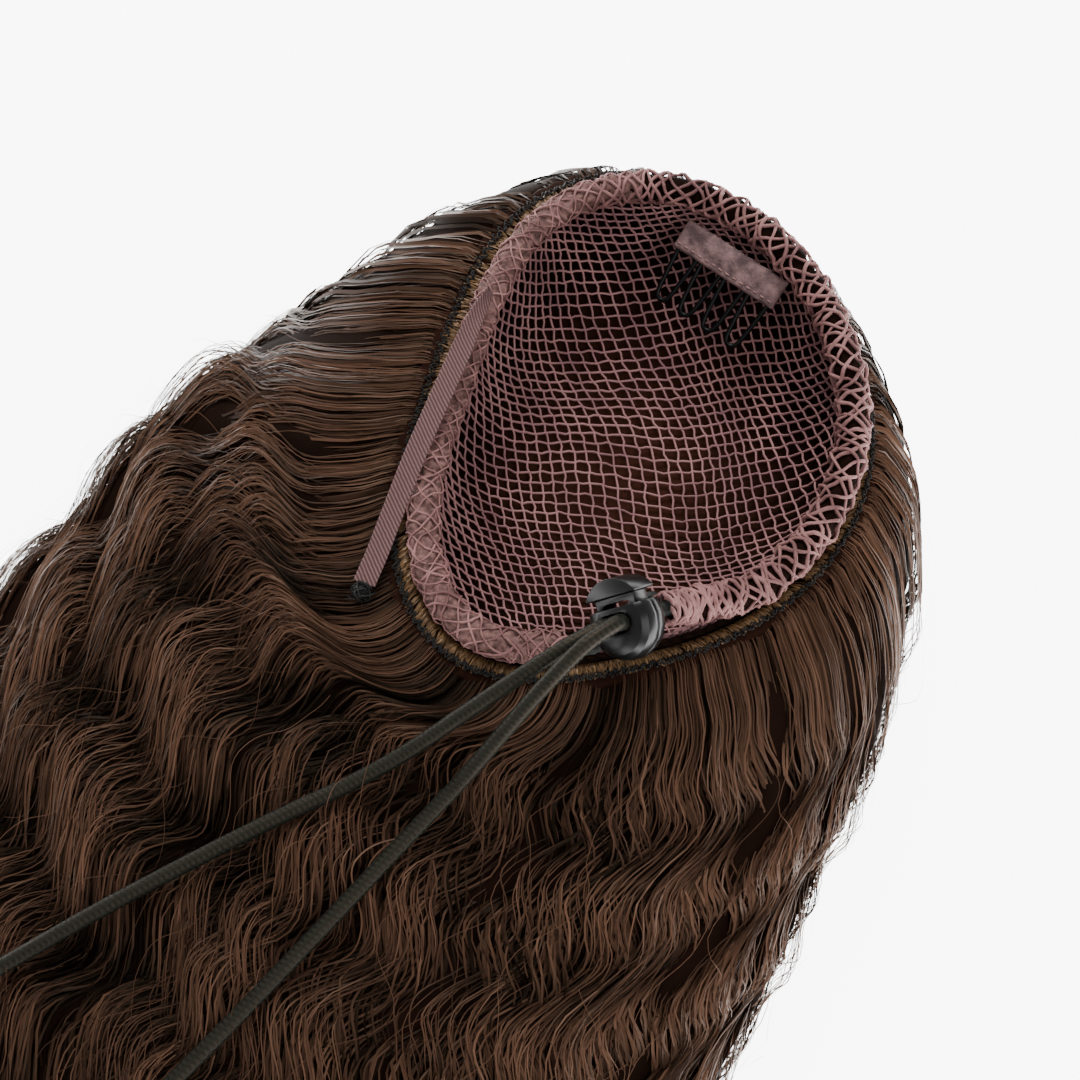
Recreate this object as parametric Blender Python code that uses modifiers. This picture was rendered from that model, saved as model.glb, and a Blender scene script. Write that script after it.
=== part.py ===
"""Drawstring ponytail hairpiece lying on its side, cup opening upward, in metres."""
import bmesh
import bpy
import numpy as np

# Every length below is in millimetres and is turned into metres by MM.
MM = 0.001

# The rim is an egg-shaped oval, wider at the far end, turned a little about the vertical.
RIM_HALF_WIDTH = 45.3
RIM_HALF_LENGTH = 62.2
RIM_EGG = -0.115
RIM_TURN = 0.165
RIM_CENTRE = (-0.04 * RIM_HALF_WIDTH, 0.0113 * RIM_HALF_LENGTH)
RIM_HEIGHT = 48.0
RIM_WAVES = [
    # waves round the rim, cosine and sine parts as shares of the half width
    (0, -0.0097, 0.0),
    (2, -0.0044, 0.0170),
    (3, -0.0011, -0.0801),
    (4, -0.0084, -0.0150),
]

# Net cup, whose edge lies this far below the middle of the rolled rim
CUP_DROP = 3.8
CUP_DEPTH = 34.0
CUP_FULLNESS = 0.85
CUP_WALL = 1.2
CUP_FOLD = 1.3
CUP_COLUMNS = 18
CUP_ROWS = 6
CUP_STRAND = 1.5

# Elastic cord and its casing
CORD_RADIUS = 1.7
CORD_STEP = 2.6
CORD_CLEARANCE = 0.45
ROLL_WALL = 1.3
BAND_WALL = 0.9

# Weft band
WEFT_CLEARANCE = 0.55
WEFT_WIDTH = 6.0
WEFT_DROP = 4.0
WEFT_THICKNESS = 1.5
WEFT_COUNT = 48

# Hair
HAIR_WIDTH = 195.0
HAIR_HEIGHT = 44.0
HAIR_LENGTH = 258.0
HAIR_REACH = 46.0
WAVE_LENGTH = 52.0
WAVE_DEPTH = 4.4
SWELL_DEPTH = 1.6
GROOVE_DEPTH = 5.0
HAIR_LOBES = 14
TIP_COLUMNS = 2
LOBE_COLUMNS = 4
SPREAD_ROWS = 9
TAIL_ROWS = 16
HAIR_GAP = 1.4
LEDGE_DROP = 0.4

# Cord lock: w is the way the cords leave it and v is the way its button stands out.
LOCK_ANGLE = 30.43
LOCK_OFFSET = 0.1
LOCK_LIFT = 10.4
LOCK_W = (-0.292, -0.7115, 0.6386)
LOCK_V = (-0.7285, 0.5975, 0.3325)
LOCK_RADIUS = 8.0
LOCK_HALF_THICKNESS = 4.25
LOCK_FLAT = 3.2
CORD_GAP = 0.8
STEM_WALL = 1.05
STEM_HALF_THICKNESS = 2.0
HEAD_HALF_THICKNESS = 3.4
HEAD_RISE = 1.3
BUTTON_TRAVEL = 2.0
SLIDE_CLEARANCE = 0.3

# Comb and tape
COMB_ANGLE = 174.1
COMB_INSET = 8.9
COMB_DROP = 6.5
COMB_LOOPS = 4
COMB_PITCH = 7.0
COMB_LOOP_WIDTH = 3.8
COMB_TOOTH = 14.4
COMB_WIRE_RADIUS = 0.6
TAPE_OVERHANG = 1.75
TAPE_WIDTH = 7.5
TAPE_WALL = 0.9
TAPE_CLEARANCE = 0.35

# Strap
STRAP_WIDTH = 5.0
STRAP_THICKNESS = 0.9

# Sizes that follow from the ones above
CUP_TOP = RIM_HEIGHT - CUP_DROP
TIP_LENGTH = 0.14 * HAIR_LENGTH
CASING_BORE = CORD_RADIUS + CORD_CLEARANCE
ROLL_RADIUS = CASING_BORE + ROLL_WALL
BAND_RADIUS = CASING_BORE + BAND_WALL
WEFT_INNER = ROLL_RADIUS + WEFT_CLEARANCE
HOLE_SPACING = 2 * CORD_RADIUS + CORD_GAP
HOLE_RADIUS = CORD_RADIUS + CORD_CLEARANCE
STEM_HALF_WIDTH = HOLE_SPACING / 2 + HOLE_RADIUS + STEM_WALL
STEM_DEPTH = HOLE_RADIUS + STEM_WALL + 0.2
HEAD_BASE = LOCK_FLAT + BUTTON_TRAVEL + SLIDE_CLEARANCE
COMB_WIDTH = (COMB_LOOPS - 1) * COMB_PITCH + COMB_LOOP_WIDTH + 2 * COMB_WIRE_RADIUS
TAPE_LENGTH = COMB_WIDTH + 2 * TAPE_OVERHANG

# The weft lies flat on the left and near sides and is tucked under the far right of the rim.
WEFT_STATIONS = [
    # angle, then shares of the inner edge, the width, the drop and the reach of the hair
    (-180, 0.625, 0.483, 1.90, 0.652),
    (-160, 0.800, 0.633, 1.40, 0.826),
    (-140, 1.000, 0.933, 1.00, 1.000),
    (-110, 1.000, 1.000, 1.00, 0.913),
    (-60, 1.000, 1.000, 1.00, 0.609),
    (0, 1.000, 0.833, 1.00, 0.261),
    (50, 1.000, 0.733, 1.05, 0.326),
    (85, 0.975, 0.617, 1.20, 0.326),
    (110, 0.800, 0.500, 1.50, 0.370),
    (135, 0.650, 0.467, 1.80, 0.478),
    (180, 0.625, 0.483, 1.90, 0.652),
]

# Outline of the fall of hair at stations along it.
TAIL_STATIONS = [
    # share of the length, left and right as shares of the width, top and level of the height
    (-0.039, 0.4923, 0.3692, 1.000, 0.318),
    (0.078, 0.5282, 0.3949, 1.000, 0.318),
    (0.194, 0.5487, 0.4205, 0.995, 0.295),
    (0.310, 0.5333, 0.4410, 0.977, 0.273),
    (0.426, 0.5436, 0.4462, 0.955, 0.250),
    (0.581, 0.5333, 0.4513, 0.898, 0.227),
    (0.736, 0.4923, 0.4103, 0.807, 0.205),
    (0.872, 0.4359, 0.3436, 0.682, 0.182),
    (0.988, 0.3538, 0.2513, 0.545, 0.159),
    (1.085, 0.2974, 0.1949, 0.409, 0.136),
]

# Where the free ends of the cord lie.
LEFT_TAIL = [
    # to the right of the lock's middle, toward the far end, above the top of the hair
    (-6.8, -12.9, 17.9),
    (-11.8, -23.1, 15.3),
    (-17.6, -34.1, 10.2),
    (-23.2, -44.7, 5.3),
    (-29.6, -56.3, 2.9),
    (-37.6, -69.5, 2.2),
    (-46.6, -85.5, 2.0),
    (-56.6, -104.5, 2.0),
    (-65.5, -122.4, 1.9),
    (-73.4, -138.3, 1.8),
]
RIGHT_TAIL = [
    # to the right of the lock's middle, toward the far end, above the top of the hair
    (-3.2, -11.7, 21.4),
    (-5.8, -22.1, 17.7),
    (-8.3, -32.9, 11.6),
    (-10.6, -43.3, 5.9),
    (-12.9, -54.3, 3.1),
    (-14.9, -66.3, 2.3),
    (-17.3, -81.4, 2.1),
    (-20.4, -100.4, 2.1),
    (-23.8, -118.4, 2.0),
    (-26.8, -132.4, 1.9),
]

# Where the strap lies.
STRAP_ROUTE = [
    # angle round the rim, distance outside it, height over the top of the gathered band
    (-103.1, -0.8, 1.35),
    (-93.1, 0.1, 2.15),
    (-82.0, 0.9, 2.35),
    (-70.3, 1.9, 2.15),
    (-60.5, 3.6, 1.15),
    (-50.8, 6.9, -1.45),
    (-43.8, 11.1, -3.25),
    (-39.3, 15.4, -4.05),
]


def rim_point(theta, offset=0.0, z=RIM_HEIGHT):
    """Point of the oval widened by offset; theta is 0 at the near end."""
    theta = np.asarray(theta, float)
    for waves, cosine, sine in RIM_WAVES:
        wave = cosine * np.cos(waves * theta) + sine * np.sin(waves * theta)
        offset = offset + RIM_HALF_WIDTH * wave
    wide = (RIM_HALF_WIDTH + offset) * (1 + RIM_EGG * np.cos(theta))
    across = wide * np.sin(theta)
    along = -(RIM_HALF_LENGTH + offset) * np.cos(theta)
    c = np.cos(RIM_TURN)
    s = np.sin(RIM_TURN)
    x = RIM_CENTRE[0] + c * across - s * along
    y = RIM_CENTRE[1] + s * across + c * along
    return np.stack([x, y, np.broadcast_to(z, x.shape)], -1)


def cup_point(theta, a, offset=0.0):
    """Point of the bowl: a is 0 at its edge and a right angle at its lowest point."""
    theta = np.asarray(theta, float)
    a = np.asarray(a, float)
    across = np.cos(a) ** CUP_FULLNESS
    rim = rim_point(theta, 0.0)
    centre = np.array([RIM_CENTRE[0], RIM_CENTRE[1]])
    fold = CUP_FOLD * np.sin(a) * np.cos(a)
    fold = fold * (np.sin(4 * theta + 3 * a) + 0.6 * np.sin(7 * theta - 2 * a + 1.0))
    grow = offset + fold
    plan = rim[..., :2] - centre
    reach = np.linalg.norm(plan, axis=-1)
    side = np.cos(a) * grow
    xy = centre + plan * (across * (1 + side / reach))[..., None]
    z = CUP_TOP - CUP_DEPTH * np.sin(a) - np.sin(a) * grow
    return np.concatenate([xy, z[..., None]], -1)


def smooth_curve(points, step):
    """Evenly spaced points on a smooth curve through the given ones."""
    p = np.asarray(points, float)
    ext = np.vstack([2 * p[0] - p[1], p, 2 * p[-1] - p[-2]])
    fine = []
    for i in range(len(p) - 1):
        a, b, c, d = ext[i:i + 4]
        u = np.linspace(0, 1, 24, endpoint=False)[:, None]
        fine.append(0.5 * (2 * b + (c - a) * u + (2 * a - 5 * b + 4 * c - d) * u ** 2
                           + (3 * b - a - 3 * c + d) * u ** 3))
    fine = np.vstack(fine + [p[-1:]])
    run = np.concatenate([[0], np.cumsum(np.linalg.norm(np.diff(fine, axis=0), axis=1))])
    count = max(2, int(round(run[-1] / step)) + 1)
    at = np.linspace(0, run[-1], count)
    return np.stack([np.interp(at, run, fine[:, k]) for k in range(3)], -1)


def lock_axes():
    w = np.array(LOCK_W) / np.linalg.norm(LOCK_W)
    v = np.array(LOCK_V)
    v = v - w * (v @ w)
    v = v / np.linalg.norm(v)
    return np.cross(v, w), v, w


def lock_centre():
    return rim_point(np.radians(LOCK_ANGLE), LOCK_OFFSET, RIM_HEIGHT + LOCK_LIFT)


def lock_point(along_u, along_v, along_w):
    u, v, w = lock_axes()
    return lock_centre() + u * along_u + v * along_v + w * along_w


def new_object(name, verts, faces, collection):
    """Mesh object from points in millimetres, with outward faces."""
    mesh = bpy.data.meshes.new(name)
    scaled = [tuple(float(c) * MM for c in v) for v in verts]
    mesh.from_pydata(scaled, [], [tuple(int(i) for i in f) for f in faces])
    obj = bpy.data.objects.new(name, mesh)
    collection.objects.link(obj)
    tidy_mesh(obj)
    return obj


def tidy_mesh(obj, distance=0.00001):
    bm = bmesh.new()
    bm.from_mesh(obj.data)
    bmesh.ops.remove_doubles(bm, verts=bm.verts, dist=distance)
    bmesh.ops.dissolve_degenerate(bm, edges=bm.edges, dist=distance)
    bmesh.ops.recalc_face_normals(bm, faces=bm.faces)
    bm.to_mesh(obj.data)
    bm.free()


def apply_modifiers(obj):
    depsgraph = bpy.context.evaluated_depsgraph_get()
    mesh = bpy.data.meshes.new_from_object(obj.evaluated_get(depsgraph))
    obj.modifiers.clear()
    obj.data = mesh


def loft(sections):
    """Faces joining rings of equal length, with flat ends; returns points and faces."""
    rings = np.asarray(sections)
    count = rings.shape[1]
    verts = rings.reshape(-1, 3).tolist()
    faces = []
    for i in range(len(rings) - 1):
        for k in range(count):
            a = i * count + k
            b = i * count + (k + 1) % count
            faces.append((a, b, b + count, a + count))
    faces.append(tuple(range(count))[::-1])
    faces.append(tuple(range((len(rings) - 1) * count, len(rings) * count)))
    return verts, faces


def frames(path):
    """Tangent, side and upward direction at every point of a path."""
    tangent = np.gradient(path, axis=0)
    tangent = tangent / np.linalg.norm(tangent, axis=1)[:, None]
    side = np.cross(tangent, np.array([0.0, 0.0, 1.0]))
    side = side / np.maximum(np.linalg.norm(side, axis=1), 1e-9)[:, None]
    up = np.cross(side, tangent)
    return tangent, side, up


def tube(name, path, radius, collection, resolution=2):
    """Round cord along a path of points, with filled ends."""
    curve = bpy.data.curves.new(name, "CURVE")
    curve.dimensions = "3D"
    curve.bevel_depth = radius * MM
    curve.bevel_resolution = resolution
    curve.use_fill_caps = True
    spline = curve.splines.new("POLY")
    spline.points.add(len(path) - 1)
    for point, p in zip(spline.points, path):
        point.co = (p[0] * MM, p[1] * MM, p[2] * MM, 1.0)
    holder = bpy.data.objects.new(name + "_route", curve)
    collection.objects.link(holder)
    depsgraph = bpy.context.evaluated_depsgraph_get()
    mesh = bpy.data.meshes.new_from_object(holder.evaluated_get(depsgraph))
    bpy.data.objects.remove(holder)
    obj = bpy.data.objects.new(name, mesh)
    collection.objects.link(obj)
    tidy_mesh(obj)
    return obj


def boolean(obj, other, operation, cutters):
    other.display_type = "WIRE"
    other.hide_render = True
    for col in list(other.users_collection):
        col.objects.unlink(other)
    cutters.objects.link(other)
    mod = obj.modifiers.new(operation.lower(), "BOOLEAN")
    mod.operation = operation
    mod.solver = "EXACT"
    mod.object = other
    apply_modifiers(obj)


def shade(obj, degrees):
    """Smooth shading with sharp edges above an angle."""
    obj.data.shade_smooth()
    obj.data.set_sharp_from_angle(angle=np.radians(degrees))


def material(obj, name, colour, roughness, metallic=0.0):
    mat = bpy.data.materials.new(name)
    mat.use_nodes = True
    shader = mat.node_tree.nodes["Principled BSDF"]
    shader.inputs["Base Color"].default_value = (*colour, 1.0)
    shader.inputs["Roughness"].default_value = roughness
    shader.inputs["Metallic"].default_value = metallic
    mat.diffuse_color = (*colour, 1.0)
    obj.data.materials.clear()
    obj.data.materials.append(mat)


# Net cup
def build_net_cup(collection):
    """Diamond lattice cut through between a solid edge and a solid patch at the bottom."""
    levels = np.linspace(np.radians(7.0), np.radians(64.0), CUP_ROWS + 2)
    pitch = 2 * np.pi / CUP_COLUMNS
    bm = bmesh.new()
    verts = []
    for row, a in enumerate(levels):
        theta = (np.arange(CUP_COLUMNS) + 0.5 * (row % 2)) * pitch
        ring = cup_point(theta, np.full(CUP_COLUMNS, a))
        verts.append([bm.verts.new(tuple(p * MM)) for p in ring])
    holes = []
    for row in range(1, CUP_ROWS + 1):
        for k in range(CUP_COLUMNS):
            left = verts[row][k]
            right = verts[row][(k + 1) % CUP_COLUMNS]
            mid = (k + row % 2) % CUP_COLUMNS
            above = verts[row - 1][mid]
            below = verts[row + 1][mid]
            holes.append(bm.faces.new((left, below, right, above)))
    edge = cup_point(np.arange(CUP_COLUMNS) * pitch, np.zeros(CUP_COLUMNS))
    top = [bm.verts.new(tuple(p * MM)) for p in edge]
    for k in range(CUP_COLUMNS):
        n = (k + 1) % CUP_COLUMNS
        bm.faces.new((verts[0][k], verts[1][k], verts[0][n]))
        bm.faces.new((top[k], verts[0][k], verts[0][n], top[n]))
    last = CUP_ROWS + 1
    pole = cup_point(np.array([0.0]), np.array([np.pi / 2 - 1e-4]))[0]
    centre = bm.verts.new(tuple(pole * MM))
    for k in range(CUP_COLUMNS):
        n = (k + 1) % CUP_COLUMNS
        inner = n if last % 2 else k
        bm.faces.new((verts[last][k], verts[last][n], verts[last - 1][inner]))
        bm.faces.new((centre, verts[last][n], verts[last][k]))
    bmesh.ops.recalc_face_normals(bm, faces=bm.faces)
    bmesh.ops.inset_individual(bm, faces=holes, thickness=CUP_STRAND * MM * 0.5, depth=0.0)
    bmesh.ops.delete(bm, geom=holes, context="FACES")
    mesh = bpy.data.meshes.new("net_cup")
    bm.to_mesh(mesh)
    bm.free()
    obj = bpy.data.objects.new("net_cup", mesh)
    collection.objects.link(obj)
    mod = obj.modifiers.new("wall", "SOLIDIFY")
    mod.thickness = CUP_WALL * MM
    mod.offset = 0.0
    mod.use_rim = True
    apply_modifiers(obj)
    tidy_mesh(obj)
    return obj


# Drawcord
def loop_route():
    """Route of the elastic cord: out of the lock, round the rim and back under the lock."""
    half = HOLE_SPACING / 2
    right = [lock_point(half, 0, w) for w in (3.25, -1.0, -5.0)]
    right.append(lock_point(half + 0.5, 0.4, -9.0))
    blend = [rim_point(np.radians(50.6), -2.3, RIM_HEIGHT + 1.9)]
    ring = [rim_point(np.radians(d)) for d in range(62, 361 + 4, 6)]
    below = [(-4.4, -4.7, -11.5), (-3.2, 2.7, -12.7), (-2.4, 8.9, -13.6),
             (0.0, 12.3, -13.2), (2.1, 10.9, -11.4)]
    under = [rim_point(np.radians(13.0), 0.0, RIM_HEIGHT - 0.1)]
    under = under + [lock_centre() + np.array(p) for p in below]
    left = [lock_point(-half - 0.9, -0.7, -8.0), lock_point(-half - 0.2, -0.1, -5.0)]
    left = left + [lock_point(-half, 0, w) for w in (-1.0, 3.25)]
    return np.array([*right, *blend, *ring, *under, *left])


def loop_path():
    """Evenly spaced points of the loop: close together near the lock, wider round the rim."""
    path = smooth_curve(loop_route(), CORD_STEP)
    ring = np.linalg.norm(path - lock_centre(), axis=1) > 4 * LOCK_RADIUS
    keep = [i for i in range(len(path)) if not ring[i] or i % 4 == 0]
    return square_ends(path[keep])


def build_drawcord_loop(collection):
    return tube("drawcord_loop", loop_path(), CORD_RADIUS, collection)


def square_ends(path):
    """Make the parts of a cord inside the lock run straight along w."""
    w = lock_axes()[2]
    path = np.array(path)
    for end, inner in ((0, 1), (-1, -2)):
        length = np.linalg.norm(path[inner] - path[end])
        if np.linalg.norm(path[end] - lock_centre()) < LOCK_RADIUS:
            way = np.sign((path[inner] - path[end]) @ w)
            path[inner] = path[end] + w * way * length
    return path


def build_casing(collection):
    """Gathered roll round the cord; flatter and denser on the left near side."""
    path = loop_path()
    near_lock = np.linalg.norm(path - lock_point(HOLE_SPACING / 2, 0, -8.6), axis=1)
    near_end = np.linalg.norm(path - rim_point(np.radians(13.0)), axis=1)
    first = int(np.argmin(near_lock))
    last = int(np.argmin(near_end))
    inner_path = path[first:last + 1]
    gaps = np.linalg.norm(np.diff(inner_path, axis=0), axis=1)
    keep = [0]
    for i in range(1, len(inner_path) - 1):
        if gaps[keep[-1]:i].sum() > 4.9 or len(inner_path) - i < 2:
            keep.append(i)
    path = inner_path[keep + [len(inner_path) - 1]]
    count = len(path)
    at = np.concatenate([[0], np.cumsum(np.linalg.norm(np.diff(path, axis=0), axis=1))])
    side, up = frames(path)[1:]
    roll = np.clip((0.74 - at / at[-1]) / 0.06, 0, 1)
    grow = np.clip(at / (4 * ROLL_RADIUS), 0, 1)
    gather = 0.22 * np.where(np.arange(count) % 2 == 0, 1.0, -1.0)
    radius = BAND_RADIUS + (ROLL_RADIUS - BAND_RADIUS) * roll * grow + gather * grow
    radius = np.maximum(radius, CASING_BORE + 0.7)
    rings = 8
    angle = np.arange(rings) * 2 * np.pi / rings
    outer = (path[:, None] + side[:, None] * (radius[:, None] * np.cos(angle))[..., None]
             + up[:, None] * (radius[:, None] * np.sin(angle))[..., None])
    bore = CASING_BORE / np.cos(np.pi / rings)
    inner = (path[:, None] + side[:, None] * (bore * np.cos(angle))[None, :, None]
             + up[:, None] * (bore * np.sin(angle))[None, :, None])
    verts = np.concatenate([outer.reshape(-1, 3), inner.reshape(-1, 3)])
    shift = count * rings
    faces = []
    for i in range(count - 1):
        for k in range(rings):
            a = i * rings + k
            b = i * rings + (k + 1) % rings
            faces.append((a, b, b + rings, a + rings))
            faces.append((a + shift, a + rings + shift, b + rings + shift, b + shift))
    for i in (0, count - 1):
        for k in range(rings):
            a = i * rings + k
            b = i * rings + (k + 1) % rings
            faces.append((a, b, b + shift, a + shift))
    return new_object("drawstring_casing", verts, faces, collection)


def laid(table):
    """Points over the hair: away from the lock in plan, and a height above the hair's top."""
    points = []
    for right, far, lift in table:
        x, y = lock_centre()[:2] + np.array([right, far])
        points.append((x, y, station(y)[2] + lift))
    return points


def build_tails(collection):
    """The two free ends of the cord, laid over the hair, each ending in a knot."""
    half = HOLE_SPACING / 2
    left = [lock_point(-half, 0, w) for w in (3.55, 7.0)] + laid(LEFT_TAIL)
    right = [lock_point(half, 0, w) for w in (3.55, 7.0)] + laid(RIGHT_TAIL)
    made = []
    for name, knot, route in (("cord_tail_left", "cord_knot_left", left),
                              ("cord_tail_right", "cord_knot_right", right)):
        path = square_ends(smooth_curve(route, 6.8))
        made.append(tube(name, path, CORD_RADIUS, collection))
        way = path[-1] - path[-2]
        way = way / np.linalg.norm(way)
        made.append(build_knot(knot, path[-1] + way * 2.06 * CORD_RADIUS, way, collection))
    return made


def build_knot(name, centre, way, collection):
    """A pulled-tight overhand knot, as a short barrel with a waist."""
    side = np.cross(way, (0.0, 0.0, 1.0))
    side = side / np.linalg.norm(side)
    up = np.cross(side, way)
    angle = np.arange(8) * np.pi / 4
    rings = []
    # distance along the cord and radius, both in radii of the cord
    for along, wide in ((-1.88, 1.12), (-1.29, 1.82), (-0.35, 1.94), (0.0, 1.71),
                        (0.47, 1.88), (1.41, 1.71), (2.0, 1.0)):
        ring = np.cos(angle)[:, None] * side + 0.9 * np.sin(angle)[:, None] * up
        rings.append(centre + CORD_RADIUS * (way * along + wide * ring))
    verts, faces = loft(rings)
    return new_object(name, verts, faces, collection)


# Weft band
def weft_station(theta):
    """Inner edge, outer edge, underside and reach of the hair, smoothed round the rim."""
    table = np.array(WEFT_STATIONS, float)
    degrees = (np.degrees(np.asarray(theta)) + 180.0) % 360.0 - 180.0
    shares = []
    for column in range(1, 5):
        total = 0.0
        for shift in (-14.0, 0.0, 14.0):
            at = (degrees + shift + 180.0) % 360.0 - 180.0
            total = total + np.interp(at, table[:, 0], table[:, column]) / 3.0
        shares.append(total)
    inner = WEFT_INNER * shares[0]
    outer = inner + WEFT_WIDTH * shares[1]
    return inner, outer, RIM_HEIGHT - WEFT_DROP * shares[2], HAIR_REACH * shares[3]


def build_weft(collection):
    """Flat sewn track round the outside of the casing."""
    count = WEFT_COUNT
    theta = np.arange(count) * 2 * np.pi / count
    ripple = 0.2 * np.where(np.arange(count) % 2 == 0, 1.0, -1.0)
    inner, outer, low = weft_station(theta)[:3]
    high = low + WEFT_THICKNESS
    corners = [
        rim_point(theta, inner, low),
        rim_point(theta, inner, high),
        rim_point(theta, outer - 1.0, high + ripple),
        rim_point(theta, outer, low + 0.8),
        rim_point(theta, outer, low),
    ]
    verts = np.stack(corners, 1).reshape(-1, 3)
    size = len(corners)
    faces = []
    for i in range(count):
        for k in range(size):
            a = i * size + k
            b = i * size + (k + 1) % size
            c = ((i + 1) % count) * size + (k + 1) % size
            d = ((i + 1) % count) * size + k
            faces.append((a, b, c, d))
    return new_object("weft_band", verts, faces, collection)


# Hair
def station(y):
    """Left side, right side, top and level of the widest place at y."""
    table = np.array(TAIL_STATIONS, float)
    share = -np.asarray(y) / HAIR_LENGTH
    scale = (-HAIR_WIDTH, HAIR_WIDTH, HAIR_HEIGHT, HAIR_HEIGHT)
    return [np.interp(share, table[:, 0], table[:, k + 1]) * scale[k] for k in range(4)]


def section(psi, y):
    """Point of the tail's cross-section at y; psi is 0 at the top middle."""
    left, right, top, level = station(y)
    middle = 0.5 * (left + right)
    half = 0.5 * (right - left)
    s = np.sin(psi)
    c = np.cos(psi)
    x = middle + half * np.sign(s) * np.abs(s) ** 1.05
    above = level + (top - level) * np.abs(c) ** 0.66
    below = level - (level + 0.16 * HAIR_HEIGHT) * np.abs(c) ** 0.5
    z = np.where(c > 0, above, below)
    return np.stack(np.broadcast_arrays(x, y, z), -1)


def hair_start(theta):
    """Where the hair leaves the weft, and which way it heads there."""
    near = 0.5 + 0.5 * np.cos(theta)
    outer, low = weft_station(theta)[1:3]
    p = rim_point(theta, outer + 0.13 * WEFT_WIDTH, low + WEFT_THICKNESS + 0.1)
    n = rim_point(theta, WEFT_WIDTH) - rim_point(theta, 0.0)
    n = n / np.linalg.norm(n, axis=-1)[..., None]
    flow = np.zeros_like(n)
    flow[..., 1] = -0.75 * np.abs(np.sin(theta)) ** 0.8
    flow[..., 2] = 0.10 - 0.95 * (1 - near) ** 1.6
    d = n + flow
    return p, d / np.linalg.norm(d, axis=-1)[..., None]


def join_y(theta):
    """Where each line of hair has joined the tail."""
    near = 0.5 + 0.5 * np.cos(theta)
    return -RIM_HALF_LENGTH * (0.482 + 1.061 * near ** 1.5)


def hair_line(theta, t):
    """Point of the smooth outer form: t from 0 at the weft to 1 where the tail starts."""
    p0, d0 = hair_start(theta)
    y1 = join_y(theta)
    p3 = section(theta, y1)
    near = 0.5 + 0.5 * np.cos(theta)
    far = (1 - near) ** 2
    reach = weft_station(theta)[3]
    p1 = p0 + d0 * reach[..., None]
    back = np.zeros_like(p3)
    back[..., 1] = RIM_HALF_LENGTH * (0.16 + 0.386 * np.abs(np.sin(theta)) + 0.997 * far)
    p2 = p3 + back
    t = np.asarray(t)[..., None]
    return (p0 * (1 - t) ** 3 + 3 * p1 * t * (1 - t) ** 2
            + 3 * p2 * t ** 2 * (1 - t) + p3 * t ** 3)


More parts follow.
